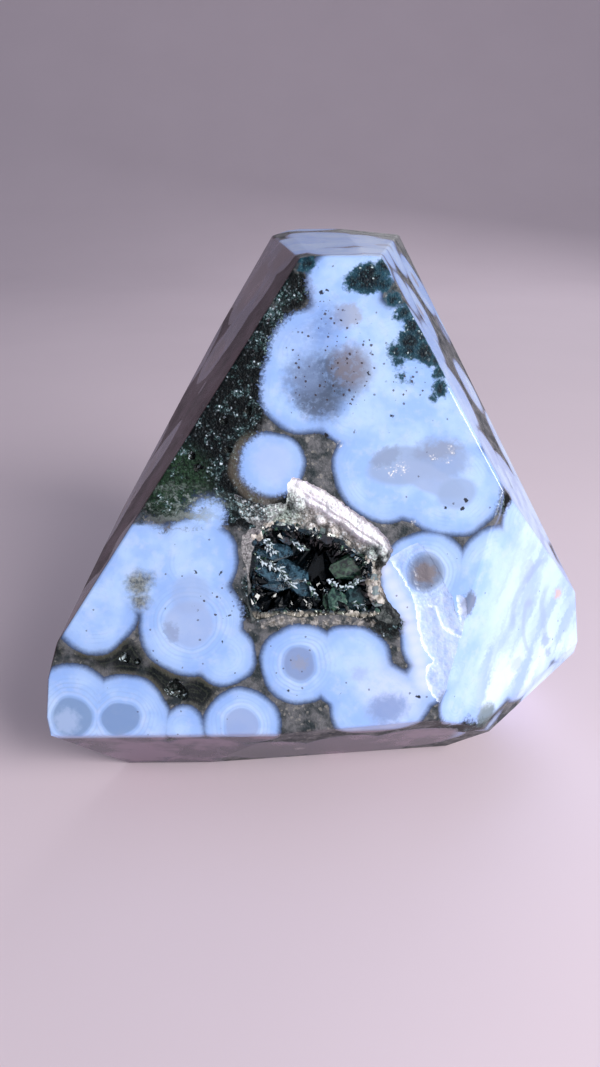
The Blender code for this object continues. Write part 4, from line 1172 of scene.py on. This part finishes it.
def quartz_point(whole, base, lean, spin, length, radius, shade):
    """A six-sided prism ending in a six-sided pyramid."""
    shank = 0.6 * length
    part = bmesh.new()
    bmesh.ops.create_cone(part, cap_ends=True, segments=6, radius1=radius, radius2=0.9 * radius, depth=shank)
    bmesh.ops.translate(part, vec=(0.0, 0.0, 0.5 * shank), verts=part.verts)
    top = max(part.faces, key=lambda face: face.calc_center_median().z)
    tip = bmesh.ops.poke(part, faces=[top])["verts"][0]
    tip.co.z = length
    turn = lean.to_track_quat("Z", "Y").to_matrix().to_4x4() @ Matrix.Rotation(spin, 4, "Z")
    bmesh.ops.transform(part, matrix=Matrix.Translation(base) @ turn, verts=part.verts)
    add_part(whole, part, shade)


def tablet(whole, base, lean, facing, length, width, thickness, shade, jitter):
    """A tabular crystal: a slab whose corners are cut by a few slanting faces."""
    part = bmesh.new()
    bmesh.ops.create_cube(part, size=1.0)
    bmesh.ops.scale(part, vec=(thickness, width, length), verts=part.verts)
    bmesh.ops.translate(part, vec=(0.0, 0.0, 0.5 * length), verts=part.verts)
    cuts = (
        (0.0, 0.78, 0.62, 0.40 * width + 0.34 * length),
        (0.0, -0.62, 0.78, 0.22 * width + 0.66 * length),
        (0.80, 0.0, 0.60, 0.15 * thickness + 0.56 * length),
        (-0.75, 0.25, 0.61, 0.20 * thickness + 0.08 * width + 0.55 * length),
        (0.85, 0.52, 0.10, 0.40 * thickness + 0.19 * width + 0.05 * length),
        (0.85, -0.52, 0.05, 0.36 * thickness + 0.20 * width + 0.03 * length),
        (0.90, 0.10, 0.42, 0.40 * thickness + 0.26 * length),
    )
    for x, y, z, distance in cuts:
        normal = Vector((x, y, z)).normalized()
        keep_inside(part, normal, distance * jitter.uniform(0.94, 1.04))
    axis = Vector(lean).normalized()
    front = Vector(facing)
    front = (front - axis * front.dot(axis)).normalized()
    turn = Matrix((front, axis.cross(front), axis)).transposed().to_4x4()
    bmesh.ops.transform(part, matrix=Matrix.Translation(base) @ turn, verts=part.verts)
    add_part(whole, part, shade)


def wall_spot(turn, depth, inset):
    """A point on the hollow's wall and the direction into the hollow."""
    deeper = [ring for ring in VUG_RINGS if ring[0] <= depth]
    above = [ring for ring in VUG_RINGS if ring[0] > depth][-1]
    below = deeper[0] if deeper else VUG_RINGS[-1]
    t = (above[0] - depth) / max(1e-6, above[0] - below[0])
    scale, shift_u, shift_v = (a + (b - a) * t for a, b in zip(above[1:], below[1:]))
    count = len(VUG_MOUTH)
    at = turn * count
    k = int(at) % count
    first, second = Vector(VUG_MOUTH[k]), Vector(VUG_MOUTH[(k + 1) % count])
    mouth = first.lerp(second, at - int(at))
    centre = sum((Vector(point) for point in VUG_MOUTH), Vector((0.0, 0.0))) / count
    arm = mouth - centre
    spot = arm * (scale * (arm.length - inset) / arm.length)
    inward = -arm.normalized()
    return (
        Vector((centre.x + spot.x + shift_u, centre.y + spot.y + shift_v, depth)),
        Vector((inward.x, inward.y, 0.15 + 0.09 * max(0.0, -depth - 3.0))),
    )


def crust_shell():
    """The lining: the hollow's wall and an inner, more craggy wall, joined round the rim."""
    rings = [(LINING_START, 0.97, 0.0, 0.0)] + [ring for ring in VUG_RINGS if ring[0] < LINING_START - 0.3]
    outer = hollow(rings, LINING_INSET, VUG_ROUGHNESS, LINING_AROUND)
    inner_rings = [ring for ring in rings if ring[0] > LINING_DEEPEST]
    inner = hollow(inner_rings, LINING_WALL, LINING_CRAGS, LINING_AROUND)
    for bm in (outer, inner):
        caps = [face for face in bm.faces if len(face.verts) > 8]
        top = max(caps, key=lambda face: face.calc_center_median().z)
        bmesh.ops.delete(bm, geom=[top], context="FACES_ONLY")
    bmesh.ops.reverse_faces(inner, faces=inner.faces)
    loose = bpy.data.meshes.new("inner")
    inner.to_mesh(loose)
    inner.free()
    outer.from_mesh(loose)
    bpy.data.meshes.remove(loose)
    rims = [edge for edge in outer.edges if edge.is_boundary]
    bmesh.ops.bridge_loops(outer, edges=rims)
    return outer


def place_on(line, chance):
    """A random place on a drawn line."""
    at = chance.uniform(0.0, len(line) - 1.001)
    return Vector(line[int(at)]).lerp(Vector(line[int(at) + 1]), at - int(at))


def outward_facing(chance):
    return Vector((chance.uniform(-0.5, 0.5), chance.uniform(-0.3, 0.3), 1.0))


crust_bm = bmesh.new()
add_part(crust_bm, crust_shell(), LINING_SHADE)
chance = random.Random(CRYSTAL_SEED)
for base, lean, facing, length, width, thickness, shade in TABLETS:
    tablet(crust_bm, Vector(base), lean, facing, length, width, thickness, shade, chance)

# Small points: stubby ones that lean outwards round the rim, longer ones deep in that are nearly black, dark
# quartz with painted shade of the deep hollow.
for number in range(RIM_CRYSTALS + DEEP_CRYSTALS):
    rim = number < RIM_CRYSTALS
    depth = -0.9 - 2.6 * chance.random() if rim else -2.2 - 7.3 * chance.random()
    base, inward = wall_spot(chance.random(), depth, 0.30 if rim else 0.45)
    tilt = Vector([chance.uniform(-0.7, 0.7) for _ in range(3)])
    aim = inward * 0.6 + Vector((0.0, 0.0, 0.6)) if rim else inward
    lean = (aim + tilt).normalized()
    length = chance.uniform(0.30, 0.75) if rim else chance.uniform(0.9, 2.2)
    shade = chance.choice(RIM_SHADES) if rim else chance.uniform(0.0, 0.06)
    quartz_point(crust_bm, base, lean, chance.uniform(0.0, 3.0), length, 0.26 * length + 0.04, shade)

# Scales on the upper lip hang down over the hollow.
for _ in range(LIP_SCALES):
    spot = place_on(LIP, chance)
    spot += Vector((chance.uniform(-0.3, 0.3), chance.uniform(-0.2, 0.5)))
    sunk = min(3.0, max(0.3, relief(spot.x, spot.y)[0]))
    lean = Vector((chance.uniform(-0.7, 0.4), -1.0, chance.uniform(-0.5, 0.1)))
    facing = outward_facing(chance)
    size = chance.uniform(0.6, 1.3)
    shade = chance.choice(LIP_SHADES)
    base = Vector((spot.x, spot.y, -sunk - chance.uniform(0.0, 0.4)))
    tablet(crust_bm, base, lean, facing, size, 0.9 * size, 0.3, shade, chance)

# Scales down the right side point left, and those on the lower rim point up.
for number in range(RIGHT_SCALES + LOWER_SCALES):
    lower = number >= RIGHT_SCALES
    spot = place_on(LOWER_LIP if lower else RIGHT_LIP, chance)
    if lower:
        spot += Vector((chance.uniform(-0.2, 0.2), chance.uniform(-0.35, 0.1)))
        away = (chance.uniform(-0.6, 0.6), 1.0)
    else:
        spot += Vector((chance.uniform(-0.2, 0.6), 0.0))
        away = (-1.0, chance.uniform(-0.6, 0.4))
    lean = Vector((*away, chance.uniform(-0.6, 0.1)))
    facing = outward_facing(chance)
    size = chance.uniform(0.35, 0.8) if lower else chance.uniform(0.7, 1.4)
    sunk = min(1.6, max(0.15, relief(spot.x, spot.y)[0]))
    shade = chance.choice(LOWER_SHADES if lower else RIGHT_SHADES)
    base = Vector((spot.x, spot.y, -sunk - chance.uniform(0.1, 0.5)))
    tablet(crust_bm, base, lean, facing, size, 0.9 * size, 0.25, shade, chance)

# Splinters painted white as glints.
for start, end, count, size in GLINT_SPLINTERS:
    run = (Vector(end) - Vector(start)).normalized()
    for number in range(count):
        base = Vector(start).lerp(Vector(end), (number + chance.random()) / count)
        base += Vector((chance.uniform(-0.25, 0.25), chance.uniform(-0.25, 0.25), chance.uniform(-0.4, 0.0)))
        tilt = Vector((chance.uniform(-1.0, 1.0), chance.uniform(-1.0, 1.0), chance.uniform(0.0, 0.9)))
        lean = (run + tilt).normalized()
        length = size * chance.uniform(0.4, 1.1)
        shade = chance.choice(SPLINTER_GLINT_SHADES)
        spin = chance.uniform(0.0, 3.0)
        quartz_point(crust_bm, base, lean, spin, length, chance.uniform(0.06, 0.16), shade)
bmesh.ops.transform(crust_bm, matrix=face_matrix(), verts=crust_bm.verts)
crust_mesh = bpy.data.meshes.new("quartz_crust")
crust_bm.to_mesh(crust_mesh)
crust_bm.free()
crust = bpy.data.objects.new("quartz_crust", crust_mesh)
bpy.context.scene.collection.objects.link(crust)


def green_druse(material):
    """Glossy quartz: nearly black, teal and leaf green by shade, then white (frosted, or painted glints on
    the splinters), then tan.
    """
    graph = Graph(material)
    place = graph.face_place()
    _, up, depth = graph.axes(place)
    shade = graph.attribute("shade")
    veil = graph.noise(place, 1.6, 4.0, 0.65)
    flecks = graph.noise(place, 4.5, 4.0, 0.7)
    teal = graph.mix(graph.ramp(veil, 0.38, 0.62), (16, 30, 42), (62, 92, 110))
    teal = graph.mix(graph.ramp(flecks, 0.58, 0.68, 0.0, 0.6), teal, (128, 160, 184))
    leaf = graph.mix(graph.ramp(veil, 0.38, 0.62), (20, 38, 38), (66, 98, 78))
    leaf = graph.mix(graph.ramp(flecks, 0.60, 0.70, 0.0, 0.5), leaf, (120, 150, 140))
    colour = graph.mix(graph.ramp(shade, 0.04, 0.24), (7, 10, 14), teal)
    colour = graph.mix(graph.ramp(shade, 0.26, 0.40), colour, leaf)
    # Painted glints: the splinters' shades turn white; on the scales this white is their own.
    colour = graph.mix(graph.ramp(shade, 0.55, 0.95), colour, (214, 228, 240))
    tan = graph.mix(graph.ramp(veil, 0.35, 0.65), (150, 142, 130), (224, 218, 212))
    colour = graph.mix(graph.ramp(shade, 1.05, 1.15), colour, tan)
    low_rim = graph.times(graph.ramp(up, -10.2, -9.5, 1.0, 0.0), graph.ramp(depth, -1.6, -0.9))
    dusted = graph.times(low_rim, graph.ramp(veil, 0.35, 0.55, 0.4, 0.9))
    colour = graph.mix(dusted, colour, (150, 142, 130))
    fine_relief = (graph.noise(place, 5.0, 3.0, 0.6), 0.25, 0.08)
    quartz_finish(graph, colour, 0.12, fine_relief, {"Coat Weight": 0.4, "Coat Roughness": 0.05})


green_quartz = bpy.data.materials.new("green_quartz")
green_druse(green_quartz)
crust_mesh.materials.append(green_quartz)
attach(crust, "root")
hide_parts("vug_crust")

# The studio.
# A pale matt sweep under and behind the stone, one large soft light from the right and in front, a
# weaker one from behind, and the camera at the photo's place, looking 25 degrees down.
FLOOR_SIZE = 1.6
SWEEP_RISE = (0.0, 0.25, 0.8)
SWEEP_ROUND = 0.35
WORLD_COLOUR = (0.80, 0.86, 1.0, 1.0)
WORLD_STRENGTH = 0.30
LIGHT_AIM = (0.0, 0.0, 0.03)
CAMERA_PLACE = (-0.0065, -0.10972, 0.07684)
CAMERA_DOWN = 25.0
LENS = 26.99
SENSOR = 36.0
floor_bm = bmesh.new()
bmesh.ops.create_grid(floor_bm, x_segments=1, y_segments=1, size=0.5 * FLOOR_SIZE)
far_edge = max(floor_bm.edges, key=lambda edge: sum(vert.co.y for vert in edge.verts))
wall = bmesh.ops.extrude_edge_only(floor_bm, edges=[far_edge])["geom"]
wall_top = [item for item in wall if isinstance(item, bmesh.types.BMVert)]
bmesh.ops.translate(floor_bm, vec=SWEEP_RISE, verts=wall_top)
bmesh.ops.bevel(
    floor_bm, geom=[far_edge], offset=SWEEP_ROUND, segments=16, profile=0.5, affect="EDGES", material=-1
)
bmesh.ops.recalc_face_normals(floor_bm, faces=floor_bm.faces)
floor_mesh = bpy.data.meshes.new("floor")
floor_bm.to_mesh(floor_mesh)
floor_bm.free()
for face in floor_mesh.polygons:
    face.use_smooth = True
floor = bpy.data.objects.new("floor", floor_mesh)
bpy.context.scene.collection.objects.link(floor)
floor_material = bpy.data.materials.new("floor")
graph = Graph(floor_material)
place = graph.node("ShaderNodeTexCoord", {}).outputs["Object"]
tone = graph.mix(graph.noise(place, 14.0, 3.0), (222, 204, 214), (230, 212, 222))
shader = graph.node("ShaderNodeBsdfPrincipled", {"Base Color": tone, "Roughness": 0.75})
graph.node("ShaderNodeOutputMaterial", {"Surface": shader.outputs[0]})
floor_mesh.materials.append(floor_material)

world = bpy.data.worlds.new("studio")
bpy.context.scene.world = world
world.use_nodes = True
background = world.node_tree.nodes["Background"]
background.inputs["Color"].default_value = WORLD_COLOUR
background.inputs["Strength"].default_value = WORLD_STRENGTH


def soft_light(name, place, size, power, colour):
    """A square soft light aimed at the stone."""
    lamp = bpy.data.lights.new(name, "AREA")
    lamp.shape = "SQUARE"
    lamp.size = size
    lamp.energy = power
    lamp.color = colour
    holder = bpy.data.objects.new(name, lamp)
    holder.location = place
    holder.rotation_euler = (Vector(LIGHT_AIM) - Vector(place)).to_track_quat("-Z", "Y").to_euler()
    bpy.context.scene.collection.objects.link(holder)


soft_light("bounce", (0.16, 0.45, 0.30), 0.30, 0.5, (0.95, 0.97, 1.0))
soft_light("window", (0.27, -0.28, 0.255), 0.22, 2.3, (1.0, 0.99, 0.98))

eye = bpy.data.cameras.new("photo")
eye.sensor_width = SENSOR
eye.lens = LENS
eye.clip_start = 0.001
camera = bpy.data.objects.new("photo", eye)
camera.location = CAMERA_PLACE
camera.rotation_euler = (math.radians(90.0 - CAMERA_DOWN), 0.0, 0.0)
bpy.context.scene.collection.objects.link(camera)
bpy.context.scene.camera = camera
bpy.context.scene.view_settings.view_transform = "Standard"
